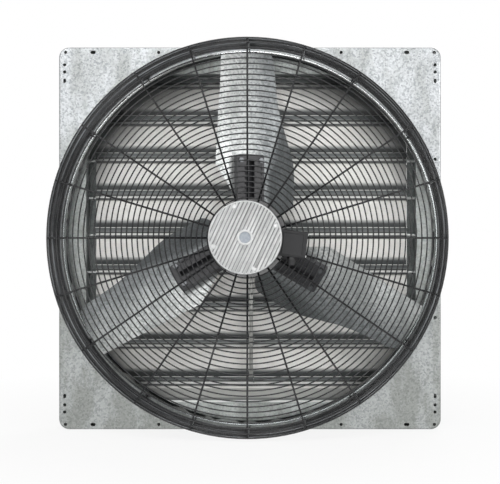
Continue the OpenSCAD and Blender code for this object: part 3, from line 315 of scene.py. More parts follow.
def powderCoat(name, values):
    # polyester powder coat baked on steel: a pebbled satin skin, paler where handling rubbed it,
    # and pale stretches of painted sheen on chosen rings
    material, tree, shader, place = startFinish(name, {"Metallic": 0.0, "IOR": 1.45})
    pebble = addNode(tree, "ShaderNodeTexNoise",
                     {"Scale": perMm(values["pebbleMm"]), "Detail": 2.0}, {"Vector": place})
    wear = addNode(tree, "ShaderNodeTexNoise",
                   {"Scale": perMm(values["wearMm"]), "Detail": 5.0, "Roughness": 0.65},
                   {"Vector": place})
    share = addNode(tree, "ShaderNodeMapRange",
                    {"From Min": values["wearFrom"], "From Max": values["wearTo"],
                     "To Max": values["wearShare"]}, {"Value": wear.outputs["Fac"]})
    skin = addNode(tree, "ShaderNodeMix",
                   {"data_type": "RGBA", 6: linearColour(values["skin"]),
                    7: linearColour(values["worn"])}, {0: share.outputs["Result"]})
    apart = addNode(tree, "ShaderNodeSeparateXYZ", {}, {"Vector": place})
    count = addNode(tree, "ShaderNodeMath",
                    {"operation": "MULTIPLY_ADD", 1: 1.0 / values["ringPitch"],
                     2: 0.5 - values["firstRing"] / values["ringPitch"]}, {0: apart.outputs["Y"]})
    ring = addNode(tree, "ShaderNodeMath", {"operation": "FLOOR"}, {0: count.outputs["Value"]})
    sheenRing = addNode(tree, "ShaderNodeTexWhiteNoise", {"noise_dimensions": "1D"},
                   {"W": ring.outputs["Value"]})
    chosen = addNode(tree, "ShaderNodeMapRange",
                     {"From Min": values["sheenRingFrom"], "From Max": values["sheenRingTo"]},
                     {"Value": sheenRing.outputs["Value"]})
    shifted = addNode(tree, "ShaderNodeVectorMath", {"operation": "ADD"},
                      {0: place, 1: sheenRing.outputs["Color"]})
    drift = addNode(tree, "ShaderNodeTexNoise",
                    {"Scale": perMm(values["stretchMm"]), "Detail": 1.0},
                    {"Vector": shifted.outputs["Vector"]})
    stretch = addNode(tree, "ShaderNodeMapRange",
                      {"From Min": values["stretchFrom"], "From Max": values["stretchTo"],
                       "To Min": values["stretchLeast"]}, {"Value": drift.outputs["Fac"]})
    shown = addNode(tree, "ShaderNodeMath", {"operation": "MULTIPLY"},
                    {0: chosen.outputs["Result"], 1: stretch.outputs["Result"]})
    # painted sheen on the chosen rings
    coat = addNode(tree, "ShaderNodeMix", {"data_type": "RGBA", 7: linearColour(values["sheenTone"])},
                   {0: shown.outputs["Value"], 6: skin.outputs[2]})
    finishSurface(tree, shader, coat.outputs[2], wear.outputs["Fac"],
                  (values["smooth"], values["rough"]), pebble.outputs["Fac"], values)
    return material


# the groove tone is painted shade between the cap's ribs
castPaint = {"face": "#cbcccc", "dirt": "#a3a5a5", "groove": "#828485",
             # depths of the ribs' tops and feet on the cap
             "ribTop": -0.2995, "ribFoot": -0.2979,
             "pebbleMm": 1.4, "dustMm": 22.0,
             # noise levels where the dirt begins and is full, and its greatest share
             "dirtFrom": 0.45, "dirtTo": 0.8, "dirtShare": 0.6,
             "smooth": 0.34, "rough": 0.5, "bump": 0.3, "liftMm": 0.08}
# the shell and the bell have no ribs, so their tone doesn't change with depth
shellPaint = dict(castPaint, face="#46484a", dirt="#5b5d5e", groove="#505254", ribTop=-0.1,
                  ribFoot=0.1)


def castAluminium(name, values):
    # die-cast aluminium under enamel: soft orange peel, random dirt, and painted shade in the rib
    # grooves
    material, tree, shader, place = startFinish(name, {"Metallic": 0.0, "IOR": 1.5})
    peel = addNode(tree, "ShaderNodeTexNoise",
                   {"Scale": perMm(values["pebbleMm"]), "Detail": 3.0}, {"Vector": place})
    dustAndShade = addNode(tree, "ShaderNodeTexNoise",
                   {"Scale": perMm(values["dustMm"]), "Detail": 6.0, "Roughness": 0.7},
                   {"Vector": place})
    share = addNode(tree, "ShaderNodeMapRange",
                    {"From Min": values["dirtFrom"], "From Max": values["dirtTo"],
                     "To Max": values["dirtShare"]}, {"Value": dustAndShade.outputs["Fac"]})
    enamel = addNode(tree, "ShaderNodeMix",
                     {"data_type": "RGBA", 6: linearColour(values["face"]),
                      7: linearColour(values["dirt"])}, {0: share.outputs["Result"]})
    apart = addNode(tree, "ShaderNodeSeparateXYZ", {}, {"Vector": place})
    # painted shade, darker towards the feet of the ribs
    depth = addNode(tree, "ShaderNodeMapRange",
                    {"From Min": values["ribTop"], "From Max": values["ribFoot"]},
                    {"Value": apart.outputs["Y"]})
    shaded = addNode(tree, "ShaderNodeMix",
                     {"data_type": "RGBA", 7: linearColour(values["groove"])},
                     {0: depth.outputs["Result"], 6: enamel.outputs[2]})
    finishSurface(tree, shader, shaded.outputs[2], dustAndShade.outputs["Fac"],
                  (values["smooth"], values["rough"]), peel.outputs["Fac"], values)
    return material


# weight of the soft clouds against the lines, and the sums that look dull and bright
rolledSurface = {"cloudMm": 45.0, "cloud": 0.5, "dullAt": 0.45, "brightAt": 1.05,
                 "bump": 0.25, "liftMm": 0.03}
# a darker grey for the tie bar
barAluminium = dict(rolledSurface, bright="#81827f", dull="#656663", lineMm=1.1, runMm=90.0,
                    smooth=0.3, rough=0.46)
zincPlate = dict(rolledSurface, bright="#dcdedd", dull="#b9bcbb", lineMm=0.8, runMm=0.8,
                 smooth=0.24, rough=0.4)
dulledPlate = dict(zincPlate, bright="#6f7173", dull="#4c4e50")
blackOxide = dict(rolledSurface, bright="#3a3b3d", dull="#232426", lineMm=0.8, runMm=0.8,
                  smooth=0.3, rough=0.45)
groundSteel = dict(rolledSurface, bright="#c6c8ca", dull="#a3a6a8", lineMm=0.5, runMm=9.0,
                   smooth=0.16, rough=0.3)
laminations = dict(rolledSurface, bright="#8e9093", dull="#66686b", lineMm=0.5, runMm=60.0,
                   smooth=0.4, rough=0.55)
copper = dict(rolledSurface, bright="#c9774a", dull="#9c5230", lineMm=1.0, runMm=30.0,
              smooth=0.3, rough=0.45)
castIron = dict(rolledSurface, bright="#55565a", dull="#3c3d40", lineMm=1.2, runMm=1.2,
                smooth=0.45, rough=0.62)


def rolledMetal(name, values, along):
    # metal as it left the rolls, the lathe or the bath: faint lines along one axis, a soft sheen
    material, tree, shader, place = startFinish(name, {"Metallic": 1.0})
    stretch = [perMm(values["lineMm"])] * 3
    stretch[along] = perMm(values["runMm"])
    drawn = addNode(tree, "ShaderNodeMapping", {"Scale": stretch}, {"Vector": place})
    lines = addNode(tree, "ShaderNodeTexNoise", {"Scale": 1.0, "Detail": 4.0},
                    {"Vector": drawn.outputs["Vector"]})
    cloud = addNode(tree, "ShaderNodeTexNoise", {"Scale": perMm(values["cloudMm"]), "Detail": 3.0},
                    {"Vector": place})
    mixed = addNode(tree, "ShaderNodeMath", {"operation": "MULTIPLY_ADD", 1: values["cloud"]},
                    {0: cloud.outputs["Fac"], 2: lines.outputs["Fac"]})
    share = addNode(tree, "ShaderNodeMapRange",
                    {"From Min": values["dullAt"], "From Max": values["brightAt"]},
                    {"Value": mixed.outputs["Value"]})
    metal = addNode(tree, "ShaderNodeMix",
                    {"data_type": "RGBA", 6: linearColour(values["dull"]),
                     7: linearColour(values["bright"])}, {0: share.outputs["Result"]})
    finishSurface(tree, shader, metal.outputs[2], mixed.outputs["Value"],
                  (values["rough"], values["smooth"]), lines.outputs["Fac"], values)
    return material


slatSheet = {"lineMm": 1.1, "runMm": 90.0, "faintLow": 0.86, "faintHigh": 1.12,
             "pivotTop": 0.3942, "pitch": 0.0963, "pivotY": 0.105, "lipY": 0.1003,
             "lipReach": 0.0225,
             # the outer side has none of the painted bands, and a face counts as outer when its
             # normal passes this
             "outside": "#d9d6d1", "outwards": 0.05,
             # share of the pitch below the pivot: painted shade on the tube, the pale face,
             # painted shade on the flange, then a painted highlight line
             "face": [(0.0, "#6d7070"), (0.045, "#5a5d5d"), (0.085, "#f8f6f2"),
                      (0.575, "#f6f4f1"), (0.64, "#a6a8a7"), (0.685, "#525656"),
                      (0.93, "#4a4e4e"), (0.955, "#f0f0ee"), (1.0, "#e6e6e3")],
             # share of the lip from the tube inwards: painted highlight, painted shade underneath,
             # a painted highlight along the hem, and painted shade on the ear
             "lip": [(0.0, "#f0f0ee"), (0.216, "#e6e6e3"), (0.264, "#8f9495"),
                     (0.64, "#7b8081"), (0.672, "#4f5353"), (0.696, "#fafaf8"),
                     (0.82, "#fafaf8"), (0.84, "#6b6e6e"), (1.0, "#6b6e6e")],
             # painted shadow of the throat darkens the slats' inner side towards the ends and top,
             # round a centre set a little low so the lowest slats stay light
             "throatShadow": "#46494a", "shadowStart": 0.405, "shadowFull": 0.475, "shadowCentreDrop": 0.025,
             # painted shade on the lowest slat behind the sill: where each tone begins and is full
             "sillShade": [(-0.386, -0.390, "#bdbfbe"), (-0.411, -0.4135, "#b0b3b3")],
             "smooth": 0.34, "rough": 0.5, "bump": 0.25, "liftMm": 0.03}


def slatAluminium(name, values):
    # mill-finish aluminium: pale face, painted shade on the lip and flange, painted highlight
    # lines, and a painted shadow of the throat
    material, tree, shader, place = startFinish(name, {"Metallic": 0.04})
    apart = addNode(tree, "ShaderNodeSeparateXYZ", {}, {"Vector": place})
    below = addNode(tree, "ShaderNodeMath", {"operation": "SUBTRACT", 0: values["pivotTop"]},
                    {1: apart.outputs["Z"]})
    within = addNode(tree, "ShaderNodeMath", {"operation": "FLOORED_MODULO", 1: values["pitch"]},
                     {0: below.outputs["Value"]})
    faceShare = addNode(tree, "ShaderNodeMath", {"operation": "DIVIDE", 1: values["pitch"]},
                        {0: within.outputs["Value"]})
    inwards = addNode(tree, "ShaderNodeMath", {"operation": "SUBTRACT", 0: values["pivotY"]},
                      {1: apart.outputs["Y"]})
    lipShare = addNode(tree, "ShaderNodeMath", {"operation": "DIVIDE", 1: values["lipReach"]},
                       {0: inwards.outputs["Value"]})
    tones = []
    # painted shade and painted highlights in bands across each slat
    for share, bands in ((faceShare, values["face"]), (lipShare, values["lip"])):
        ramp = addNode(tree, "ShaderNodeValToRGB", {}, {"Fac": share.outputs["Value"]})
        stops = ramp.color_ramp.elements
        stops[0].position, stops[0].color = bands[0][0], linearColour(bands[0][1])
        stops[1].position, stops[1].color = bands[-1][0], linearColour(bands[-1][1])
        for spot, colour in bands[1:-1]:
            stops.new(spot).color = linearColour(colour)
        tones.append(ramp)
    onLip = addNode(tree, "ShaderNodeMath", {"operation": "LESS_THAN", 1: values["lipY"]},
                    {0: apart.outputs["Y"]})
    tone = addNode(tree, "ShaderNodeMix", {"data_type": "RGBA"},
                   {0: onLip.outputs["Value"], 6: tones[0].outputs["Color"],
                    7: tones[1].outputs["Color"]})
    normal = addNode(tree, "ShaderNodeTexCoord")
    facing = addNode(tree, "ShaderNodeSeparateXYZ", {}, {"Vector": normal.outputs["Normal"]})
    back = addNode(tree, "ShaderNodeMath", {"operation": "GREATER_THAN", 1: values["outwards"]},
                   {0: facing.outputs["Y"]})
    sided = addNode(tree, "ShaderNodeMix",
                    {"data_type": "RGBA", 7: linearColour(values["outside"])},
                    {0: back.outputs["Value"], 6: tone.outputs[2]})
    across = perMm(values["lineMm"])
    drawn = addNode(tree, "ShaderNodeMapping",
                    {"Scale": (perMm(values["runMm"]), across, across)}, {"Vector": place})
    lines = addNode(tree, "ShaderNodeTexNoise", {"Scale": 1.0, "Detail": 4.0},
                    {"Vector": drawn.outputs["Vector"]})
    faint = addNode(tree, "ShaderNodeMapRange",
                    {"To Min": values["faintLow"], "To Max": values["faintHigh"]},
                    {"Value": lines.outputs["Fac"]})
    # painted shadow of the throat, round a centre set a little low
    flatPlace = addNode(tree, "ShaderNodeVectorMath",
                        {"operation": "MULTIPLY_ADD", 1: (1.0, 0.0, 1.0),
                         2: (0.0, 0.0, values["shadowCentreDrop"])}, {0: place})
    radius = addNode(tree, "ShaderNodeVectorMath", {"operation": "LENGTH"},
                     {0: flatPlace.outputs["Vector"]})
    throatShadowed = addNode(tree, "ShaderNodeMapRange",
                      {"From Min": values["shadowStart"], "From Max": values["shadowFull"]},
                      {"Value": radius.outputs["Value"]})
    inside = addNode(tree, "ShaderNodeMath", {"operation": "SUBTRACT", 0: 1.0},
                     {1: back.outputs["Value"]})
    shadowOnInside = addNode(tree, "ShaderNodeMath", {"operation": "MULTIPLY"},
                      {0: throatShadowed.outputs["Result"], 1: inside.outputs["Value"]})
    shadedTone = addNode(tree, "ShaderNodeMix",
                    {"data_type": "RGBA", "blend_type": "MULTIPLY",
                     7: linearColour(values["throatShadow"])},
                    {0: shadowOnInside.outputs["Value"], 6: sided.outputs[2]})
    # painted shade on the lowest slat
    for top, low, colour in values["sillShade"]:
        sillShadeBand = addNode(tree, "ShaderNodeMapRange", {"From Min": top, "From Max": low},
                      {"Value": apart.outputs["Z"]})
        held = addNode(tree, "ShaderNodeMath", {"operation": "MULTIPLY"},
                       {0: sillShadeBand.outputs["Result"], 1: inside.outputs["Value"]})
        shadedTone = addNode(tree, "ShaderNodeMix",
                        {"data_type": "RGBA", "blend_type": "MULTIPLY", 7: linearColour(colour)},
                        {0: held.outputs["Value"], 6: shadedTone.outputs[2]})
    metal = addNode(tree, "ShaderNodeMix",
                    {"data_type": "RGBA", "blend_type": "MULTIPLY", 0: 1.0},
                    {6: shadedTone.outputs[2], 7: faint.outputs["Result"]})
    finishSurface(tree, shader, metal.outputs[2], lines.outputs["Fac"],
                  (values["rough"], values["smooth"]), lines.outputs["Fac"], values)
    return material


moulded = {"grainMm": 0.8, "flowMm": 20.0, "spread": 0.07, "bump": 0.4, "liftMm": 0.05}
holderNylon = dict(moulded, body="#202023", flow="#302f34", rough=0.36)
boxResin = dict(moulded, body="#101113", flow="#17171a", grainMm=1.0, rough=0.6)
glandNylon = dict(moulded, body="#1b1b1d", flow="#242426", rough=0.45)
blockUrea = dict(moulded, body="#e2dccb", flow="#d9d2bf", grainMm=1.0, flowMm=38.0, rough=0.42)
# the disc is painted, and sprayed paint has the same even grain
discPaint = dict(moulded, body="#6f7780", flow="#a3a9b0", grainMm=1.2, flowMm=6.0, rough=0.4)


def mouldedPlastic(name, values):
    # injection-moulded plastic: an even spark-eroded grain with faint flow clouds
    material, tree, shader, place = startFinish(name, {"Metallic": 0.0, "IOR": 1.53})
    grain = addNode(tree, "ShaderNodeTexNoise", {"Scale": perMm(values["grainMm"]), "Detail": 2.0},
                    {"Vector": place})
    flow = addNode(tree, "ShaderNodeTexNoise", {"Scale": perMm(values["flowMm"]), "Detail": 3.0},
                   {"Vector": place})
    body = addNode(tree, "ShaderNodeMix",
                   {"data_type": "RGBA", 6: linearColour(values["body"]),
                    7: linearColour(values["flow"])}, {0: flow.outputs["Fac"]})
    finishSurface(tree, shader, body.outputs[2], flow.outputs["Fac"],
                  (values["rough"] - values["spread"], values["rough"] + values["spread"]),
                  grain.outputs["Fac"], values)
    return material


panelZinc = galvanisedSheet("hotDipGalvanisedSheet", galvanised)
# lighter zinc on the housing: painted light
housingZinc = galvanisedSheet("galvanisedHousingSheet", housingSheet)
sillZinc = galvanisedSheet("sillZincWithPaintedHighlight", sillSheet)
bladeZinc = [galvanisedSheet("galvanisedBladeSheet_%d" % (i + 1), values)
             for i, values in enumerate(blades)]
# darker zinc on the shutter frame: painted shade
shadedFrameZinc = galvanisedSheet("shadedShutterFrameZinc", shadedFrameSheet)
lipSteel = spunSteel("spunZincedRing", rolledLip)
# only the side rings have the painted sheen
guardCoat = powderCoat("satinPowderCoatedWire", dict(coatedWire, sheenTone=coatedWire["skin"]))
sideCoat = powderCoat("satinCoatedSideRings", coatedWire)
capEnamel = castAluminium("greyEnamelledCasting", castPaint)
shellEnamel = castAluminium("darkEnamelledShell", shellPaint)
slatMetal = slatAluminium("millFinishSlats", slatSheet)
tieMetal = rolledMetal("darkGreyAluminiumBar", barAluminium, 2)
boltZinc = rolledMetal("brightZincPlate", zincPlate, 1)
boltBlack = rolledMetal("blackOxideSteel", blackOxide, 1)
boltDull = rolledMetal("dulledZincPlate", dulledPlate, 1)
turnedSteel = rolledMetal("groundShaftSteel", groundSteel, 1)
coreSteel = rolledMetal("laminatedCoreSteel", laminations, 0)
windingCopper = rolledMetal("enamelledCopperWire", copper, 1)
hubIron = rolledMetal("oiledCastIron", castIron, 1)
holderPlastic = mouldedPlastic("glassFilledNylon", holderNylon)
boxPlastic = mouldedPlastic("mouldedBoxPlastic", boxResin)
glandPlastic = mouldedPlastic("nylonGland", glandNylon)
blockPlastic = mouldedPlastic("ureaTerminalBlock", blockUrea)
discFinish = mouldedPlastic("blueGreyPaintedDisc", discPaint)
print("finishes ready:", len(bpy.data.materials))

dress(panelZinc, "panel")
dress(housingZinc, "housing_side_left", "housing_side_right", "housing_top", "housing_bottom")
dress(sillZinc, "shutter_sill")
dress(shadedFrameZinc, "shutter_jamb_left", "shutter_jamb_right", "shutter_header")
dress(lipSteel, "orifice_ring")
dress(sideCoat, "guard_side_cage")
dress(guardCoat, "guard_side_stays", "guard_face_rings_outer", "guard_face_rings_inner",
      "guard_face_spokes", "guard_hub_plate", "guard_hooks", "guard_feet")
dress(boltZinc, "housing_rivets", "slat_pivot_pins", "guard_screws", "motor_mount_screws",
      "terminal_box_screws", "hub_retainer")
dress(boltBlack, "holder_bolts")
dress(boltDull, "blade_bolts")
dress(capEnamel, "motor_rear_cap", "motor_through_bolts")
dress(shellEnamel, "motor_shell", "motor_front_bell")
dress(discFinish, "cap_blank_disc")
dress(coreSteel, "motor_stator", "rotor_core")
dress(windingCopper, "stator_windings")
dress(turnedSteel, "bearing_rear", "bearing_front", "motor_shaft", "shaft_key")
dress(hubIron, "blade_hub")
dress(boxPlastic, "terminal_box", "terminal_box_lid")
dress(blockPlastic, "terminal_block")
dress(glandPlastic, "cord_gland")
dress(holderPlastic, "blade_holder_1", "blade_holder_2", "blade_holder_3")
for i in range(3):
    dress(bladeZinc[i], "blade_%d" % (i + 1))
dress(slatMetal, *["slat_%d" % i for i in range(1, 10)])
dress(tieMetal, "tie_bar", "tie_pins")
print("frame dressed")


def turned(angle, r, y):
    # place at this angle round the fan axis, this far out, X pointing outwards
    return Matrix.Rotation(-math.radians(angle), 4, "Y") @ Matrix.Translation((r, y, 0.0))


def joinPieces(made, pieceName):
    # the first piece takes in the others and stays the active one
    bpy.ops.object.select_all(action="DESELECT")
    for piece in made:
        piece.select_set(True)
    bpy.context.view_layer.objects.active = made[0]
    bpy.ops.object.join()
    made[0].name = pieceName
    return made[0]


def joinCopies(source, places, pieceName):
    # one modelled shape set down at every place, then joined as one piece
    made = []
    for place in places:
        twin = source.copy()
        twin.data = source.data.copy()
        twin.data.transform(place)
        bpy.context.scene.collection.objects.link(twin)
        made.append(twin)
    joined = joinPieces(made, pieceName)
    bpy.data.objects.remove(source)
    return joined


def roundedBar(vertices, radius, length, bevel, segments, place):
    # a short bar with both ends worked round, set down at its place
    bpy.ops.object.select_all(action="DESELECT")
    bpy.ops.mesh.primitive_cylinder_add(vertices=vertices, radius=radius, depth=length,
                                        location=(0.0, 0.0, 0.0))
    bar = bpy.context.active_object
    bpy.ops.object.mode_set(mode="EDIT")
    bpy.ops.mesh.select_all(action="SELECT")
    bpy.ops.mesh.bevel(offset=bevel, segments=segments, affect="EDGES")
    bpy.ops.object.mode_set(mode="OBJECT")
    bar.data.transform(place)
    return bar


# angle of each radial wire, and where it crosses the rings of the face and of the side
guardWelds = {"spokes": [q * 90 + a for q in range(4) for a in (0, 17, 34.3, 55.7, 73.3)],
              "faceOut": 0.473, "facePitch": 0.01263, "faceRings": 30, "faceY": -0.1671,
              "sideR": 0.4714, "sideY": -0.0088, "sidePitch": 0.0123, "sideRings": 13,
              "bead": (0.0021, 0.0011, 0.0021), "sizes": (0.85, 1.15), "seed": 11}

bpy.ops.mesh.primitive_uv_sphere_add(segments=8, ring_count=5, radius=1.0,
                                     location=(0.0, 0.0, 0.0))
bead = bpy.context.active_object
bead.data.transform(Matrix.Diagonal((*guardWelds["bead"], 1.0)))
bpy.ops.object.shade_smooth()
random.seed(guardWelds["seed"])
spots = []
for angle in guardWelds["spokes"]:
    for i in range(1, guardWelds["faceRings"] + 1):
        size = random.uniform(*guardWelds["sizes"])
        out = guardWelds["faceOut"] - i * guardWelds["facePitch"]
        spots.append(turned(angle, out, guardWelds["faceY"]) @ Matrix.Scale(size, 4))
    for i in range(guardWelds["sideRings"]):
        size = random.uniform(*guardWelds["sizes"])
        depth = guardWelds["sideY"] - i * guardWelds["sidePitch"]
        spots.append(turned(angle, guardWelds["sideR"], depth)
                     @ Matrix.Rotation(math.radians(90), 4, "Z") @ Matrix.Scale(size, 4))
welds = joinCopies(bead, spots, "guardWeldBeads")
welds.data.materials.append(guardCoat)
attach(welds, "housing")
print("guard welds:", len(spots))

# the ends of a ring are butt-welded, and the upset metal stands a little outside the guard
ringWelds = {"y": -0.0950, "vertices": 12, "bevel": 0.0008, "segments": 2, "smoothTo": 40,
             # angle, length, radius and distance from the axis of each
             "knobs": [(33.4, 0.011, 0.0042, 0.4768), (22.8, 0.005, 0.0026, 0.4742),
                       (1.0, 0.006, 0.0026, 0.4742), (173.1, 0.006, 0.0026, 0.4742),
                       (-12.8, 0.008, 0.0032, 0.4752)]}

knobs = [roundedBar(ringWelds["vertices"], radius, length, ringWelds["bevel"],
                    ringWelds["segments"], turned(angle, out, ringWelds["y"]))
         for angle, length, radius, out in ringWelds["knobs"]]
buttWelds = joinPieces(knobs, "ringButtWelds")
buttWelds.data.materials.append(guardCoat)
bpy.ops.object.shade_smooth_by_angle(angle=math.radians(ringWelds["smoothTo"]))
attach(buttWelds, "housing")
print("ring butt welds:", len(knobs))

# the box's front is dished inside a raised rim, which is sunk a little into the box
boxRim = {"middle": 0.1085, "size": (0.0475, 0.0505, 0.003), "wide": 0.0034, "dish": 0.0012,
          "sunk": 0.0006, "face": -0.262, "angle": -7.5, "edge": 0.0011, "segments": 2,
          # edges sharper than this many degrees are rounded, and the front is the face
          # whose normal rises above this
          "sharp": 60, "upwards": 0.9}

bpy.ops.object.select_all(action="DESELECT")
bpy.ops.mesh.primitive_cube_add(size=1.0, location=(0.0, 0.0, 0.0))
rim = bpy.context.active_object
rim.name = "terminalBoxRim"
rim.data.transform(Matrix.Diagonal((*boxRim["size"], 1.0)))
bpy.ops.object.mode_set(mode="EDIT")
bpy.ops.mesh.select_all(action="DESELECT")
bpy.ops.object.mode_set(mode="OBJECT")
for face in rim.data.polygons:
    face.select = face.normal.z > boxRim["upwards"]
bpy.ops.object.mode_set(mode="EDIT")
bpy.ops.mesh.select_mode(type="FACE")
bpy.ops.mesh.inset(thickness=boxRim["wide"])
bpy.ops.transform.translate(value=(0.0, 0.0, -boxRim["dish"]))
bpy.ops.object.mode_set(mode="OBJECT")
soft = rim.modifiers.new("soft", "BEVEL")
soft.width, soft.segments = boxRim["edge"], boxRim["segments"]
soft.limit_method, soft.angle_limit = "ANGLE", math.radians(boxRim["sharp"])
bpy.ops.object.modifier_apply(modifier="soft")
rimY = boxRim["face"] + boxRim["sunk"] - boxRim["size"][2] / 2
rim.data.transform(turned(boxRim["angle"], boxRim["middle"], rimY)
                   @ Matrix.Rotation(math.radians(90), 4, "X"))
rim.data.materials.append(boxPlastic)
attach(rim, "housing")
print("terminal box rim ready")

# the throat's lap is riveted on each side, and the domed heads stand in the air way
throatRivet = {"angles": [176.8, 2.6], "out": 0.4613, "y": 0.015, "vertices": 24,
               "radius": 0.0032, "high": 0.0016, "dome": 0.0007, "segments": 3, "smoothTo": 40}

heads = [roundedBar(throatRivet["vertices"], throatRivet["radius"], throatRivet["high"],
                    throatRivet["dome"], throatRivet["segments"],
                    turned(angle, throatRivet["out"], throatRivet["y"])
                    @ Matrix.Rotation(math.radians(90), 4, "Y"))
         for angle in throatRivet["angles"]]
rivetHeads = joinPieces(heads, "throatRivetHeads")
bpy.ops.object.shade_smooth_by_angle(angle=math.radians(throatRivet["smoothTo"]))
rivetHeads.data.materials.append(boltZinc)
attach(rivetHeads, "housing")
print("throat rivets:", len(heads))


def smoothedCopy(nodeName, pieceName, body, finish, angle):
    # the CAD node is loose triangles: a merged copy takes smooth shading across its curves
    piece = nodes[nodeName].copy()
    piece.data = nodes[nodeName].data.copy()
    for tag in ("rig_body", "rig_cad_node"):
        if tag in piece:
            del piece[tag]
    piece.name = pieceName
    piece.parent = None
    bpy.context.scene.collection.objects.link(piece)
    bpy.ops.object.select_all(action="DESELECT")
    piece.select_set(True)
    bpy.context.view_layer.objects.active = piece
    bpy.ops.object.mode_set(mode="EDIT")
    bpy.ops.mesh.select_all(action="SELECT")
    bpy.ops.mesh.remove_doubles(threshold=0.00001)
    bpy.ops.object.mode_set(mode="OBJECT")
    bpy.ops.object.shade_smooth_by_angle(angle=math.radians(angle))
    piece.data.materials.clear()
    piece.data.materials.append(finish)
    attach(piece, body)
    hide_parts(nodeName)


# the sharpest edge in degrees that still looks rounded on each kind of piece
smoothTo = {"blade": 32.0, "wire": 50.0, "orifice": 40.0, "casting": 30.0}

for i in (1, 2, 3):
    smoothedCopy("blade_%d" % i, "bladeSheet_%d" % i, "rotor", bladeZinc[i - 1],
                 smoothTo["blade"])
smoothedCopy("guard_side_cage", "sideCageWires", "housing", sideCoat,
             smoothTo["wire"])
for nodeName, pieceName in (("guard_side_stays", "sideStayWires"),
                            ("guard_face_rings_outer", "outerFaceWires"),
                            ("guard_face_rings_inner", "innerFaceWires"),
                            ("guard_face_spokes", "faceSpokeWires"),
                            ("guard_hooks", "lipHookWires")):
    smoothedCopy(nodeName, pieceName, "housing", guardCoat, smoothTo["wire"])
smoothedCopy("orifice_ring", "rolledOrifice", "housing", lipSteel,
             smoothTo["orifice"])
for nodeName, pieceName, finish, slotName in (
        ("motor_shell", "smoothMotorShell", shellEnamel, "motor_paint"),
        ("motor_front_bell", "smoothFrontBell", shellEnamel, "motor_paint"),
        ("motor_rear_cap", "ribbedRearCap", capEnamel, "cap_casting")):
    smoothedCopy(nodeName, pieceName, "housing", finish, smoothTo["casting"])
print("round pieces smoothed")


# angles in degrees, places in metres, lens and sensor in millimetres
studio = {"cameraPlace": (0.101, -2.75, -0.019), "cameraTilt": 90, "lensMm": 79.2,
          "sensorMm": 36.0, "shift": (-0.0806, 0.008), "farEnd": 100.0, "aim": (0.0, 0.0, 0.0),
          "floorWide": 40.0, "floor": "#f2f2f1", "floorDull": "#eeeeed", "mottleMm": 60.0,
          # share of its shading that the floor shows near the part, and where that fades
          "floorRough": 0.9, "floorShare": 0.15, "shadowNear": 0.5, "shadowFar": 1.4,
          "ambient": 0.44, "air": (1.0, 1.0, 1.0, 1.0)}
lamps = [
    # name, place, size in metres, watts
    ("keyLamp", (0.0, -3.3, 2.8), 1.7, 68.0),
    ("leftLamp", (-2.1, -2.7, 2.1), 1.3, 28.0),
    ("rightLamp", (2.9, -2.5, 0.6), 1.5, 46.0),
    ("frontLamp", (-0.2, -4.0, -0.2), 1.3, 34.0),
    ("rearLamp", (1.4, 3.2, 2.2), 2.2, 46.0),
]

camera = bpy.data.objects.new("studioCamera", bpy.data.cameras.new("studioCamera"))
bpy.context.scene.collection.objects.link(camera)
camera.location = studio["cameraPlace"]
camera.rotation_euler = (math.radians(studio["cameraTilt"]), 0.0, 0.0)
camera.data.lens = studio["lensMm"]
camera.data.sensor_width = studio["sensorMm"]
camera.data.shift_x, camera.data.shift_y = studio["shift"]
camera.data.clip_end = studio["farEnd"]
bpy.context.scene.camera = camera

for name, place, size, watts in lamps:
    light = bpy.data.lights.new(name, "AREA")
    light.size = size
    light.energy = watts
    lamp = bpy.data.objects.new(name, light)
    bpy.context.scene.collection.objects.link(lamp)
    lamp.location = place
    aim = Vector(studio["aim"]) - Vector(place)
    lamp.rotation_euler = aim.to_track_quat("-Z", "Y").to_euler()
    lamp.visible_camera = False

bpy.ops.mesh.primitive_plane_add(size=studio["floorWide"], location=(0.0, 0.0, cadBox[0][2]))
floor = bpy.context.active_object
floor.name = "studioFloor"
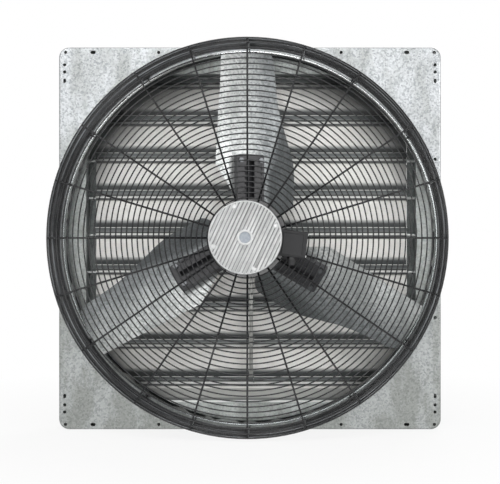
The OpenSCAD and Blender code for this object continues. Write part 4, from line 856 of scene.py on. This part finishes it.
# matt paint: the eye sees plain white, with a soft shadow only close to the part
floorFinish, floorTree, floorShader, floorPlace = startFinish(
    "paleStudioFloor", {"Roughness": studio["floorRough"]})
mottle = addNode(floorTree, "ShaderNodeTexNoise",
                 {"Scale": perMm(studio["mottleMm"]), "Detail": 2.0}, {"Vector": floorPlace})
paint = addNode(floorTree, "ShaderNodeMix",
                {"data_type": "RGBA", 6: linearColour(studio["floor"]),
                 7: linearColour(studio["floorDull"])}, {0: mottle.outputs["Fac"]})
floorTree.links.new(paint.outputs[2], floorShader.inputs["Base Color"])
floorRay = addNode(floorTree, "ShaderNodeLightPath")
seen = addNode(floorTree, "ShaderNodeMath", {"operation": "MAXIMUM"},
               {0: floorRay.outputs["Is Camera Ray"], 1: floorRay.outputs["Is Glossy Ray"]})
seenAll = addNode(floorTree, "ShaderNodeMath", {"operation": "MAXIMUM"},
                  {0: seen.outputs["Value"], 1: floorRay.outputs["Is Transmission Ray"]})
reach = addNode(floorTree, "ShaderNodeVectorMath", {"operation": "LENGTH"}, {0: floorPlace})
fade = addNode(floorTree, "ShaderNodeMapRange",
               {"From Min": studio["shadowNear"], "From Max": studio["shadowFar"],
                "To Min": 1.0 - studio["floorShare"]}, {"Value": reach.outputs["Value"]})
share = addNode(floorTree, "ShaderNodeMath", {"operation": "MULTIPLY"},
                {0: seenAll.outputs["Value"], 1: fade.outputs["Result"]})
white = addNode(floorTree, "ShaderNodeEmission", {"Strength": 1.0})
blend = addNode(floorTree, "ShaderNodeMixShader", {},
                {0: share.outputs["Value"], 1: floorShader.outputs["BSDF"],
                 2: white.outputs["Emission"]})
floorTree.links.new(blend.outputs["Shader"],
                    floorTree.nodes["Material Output"].inputs["Surface"])
floor.data.materials.append(floorFinish)

# the camera sees pure white, and the part gets a weaker share of it as ambient light
world = bpy.data.worlds.new("studioAir")
bpy.context.scene.world = world
world.use_nodes = True
airTree = world.node_tree
airRay = addNode(airTree, "ShaderNodeLightPath")
direct = addNode(airTree, "ShaderNodeMath", {"operation": "MAXIMUM"},
                 {0: airRay.outputs["Is Camera Ray"], 1: airRay.outputs["Is Transmission Ray"]})
level = addNode(airTree, "ShaderNodeMapRange", {"To Min": studio["ambient"]},
                {"Value": direct.outputs["Value"]})
background = airTree.nodes["Background"]
background.inputs["Color"].default_value = studio["air"]
airTree.links.new(level.outputs["Result"], background.inputs["Strength"])
bpy.context.scene.view_settings.view_transform = "Standard"
print("studio ready")
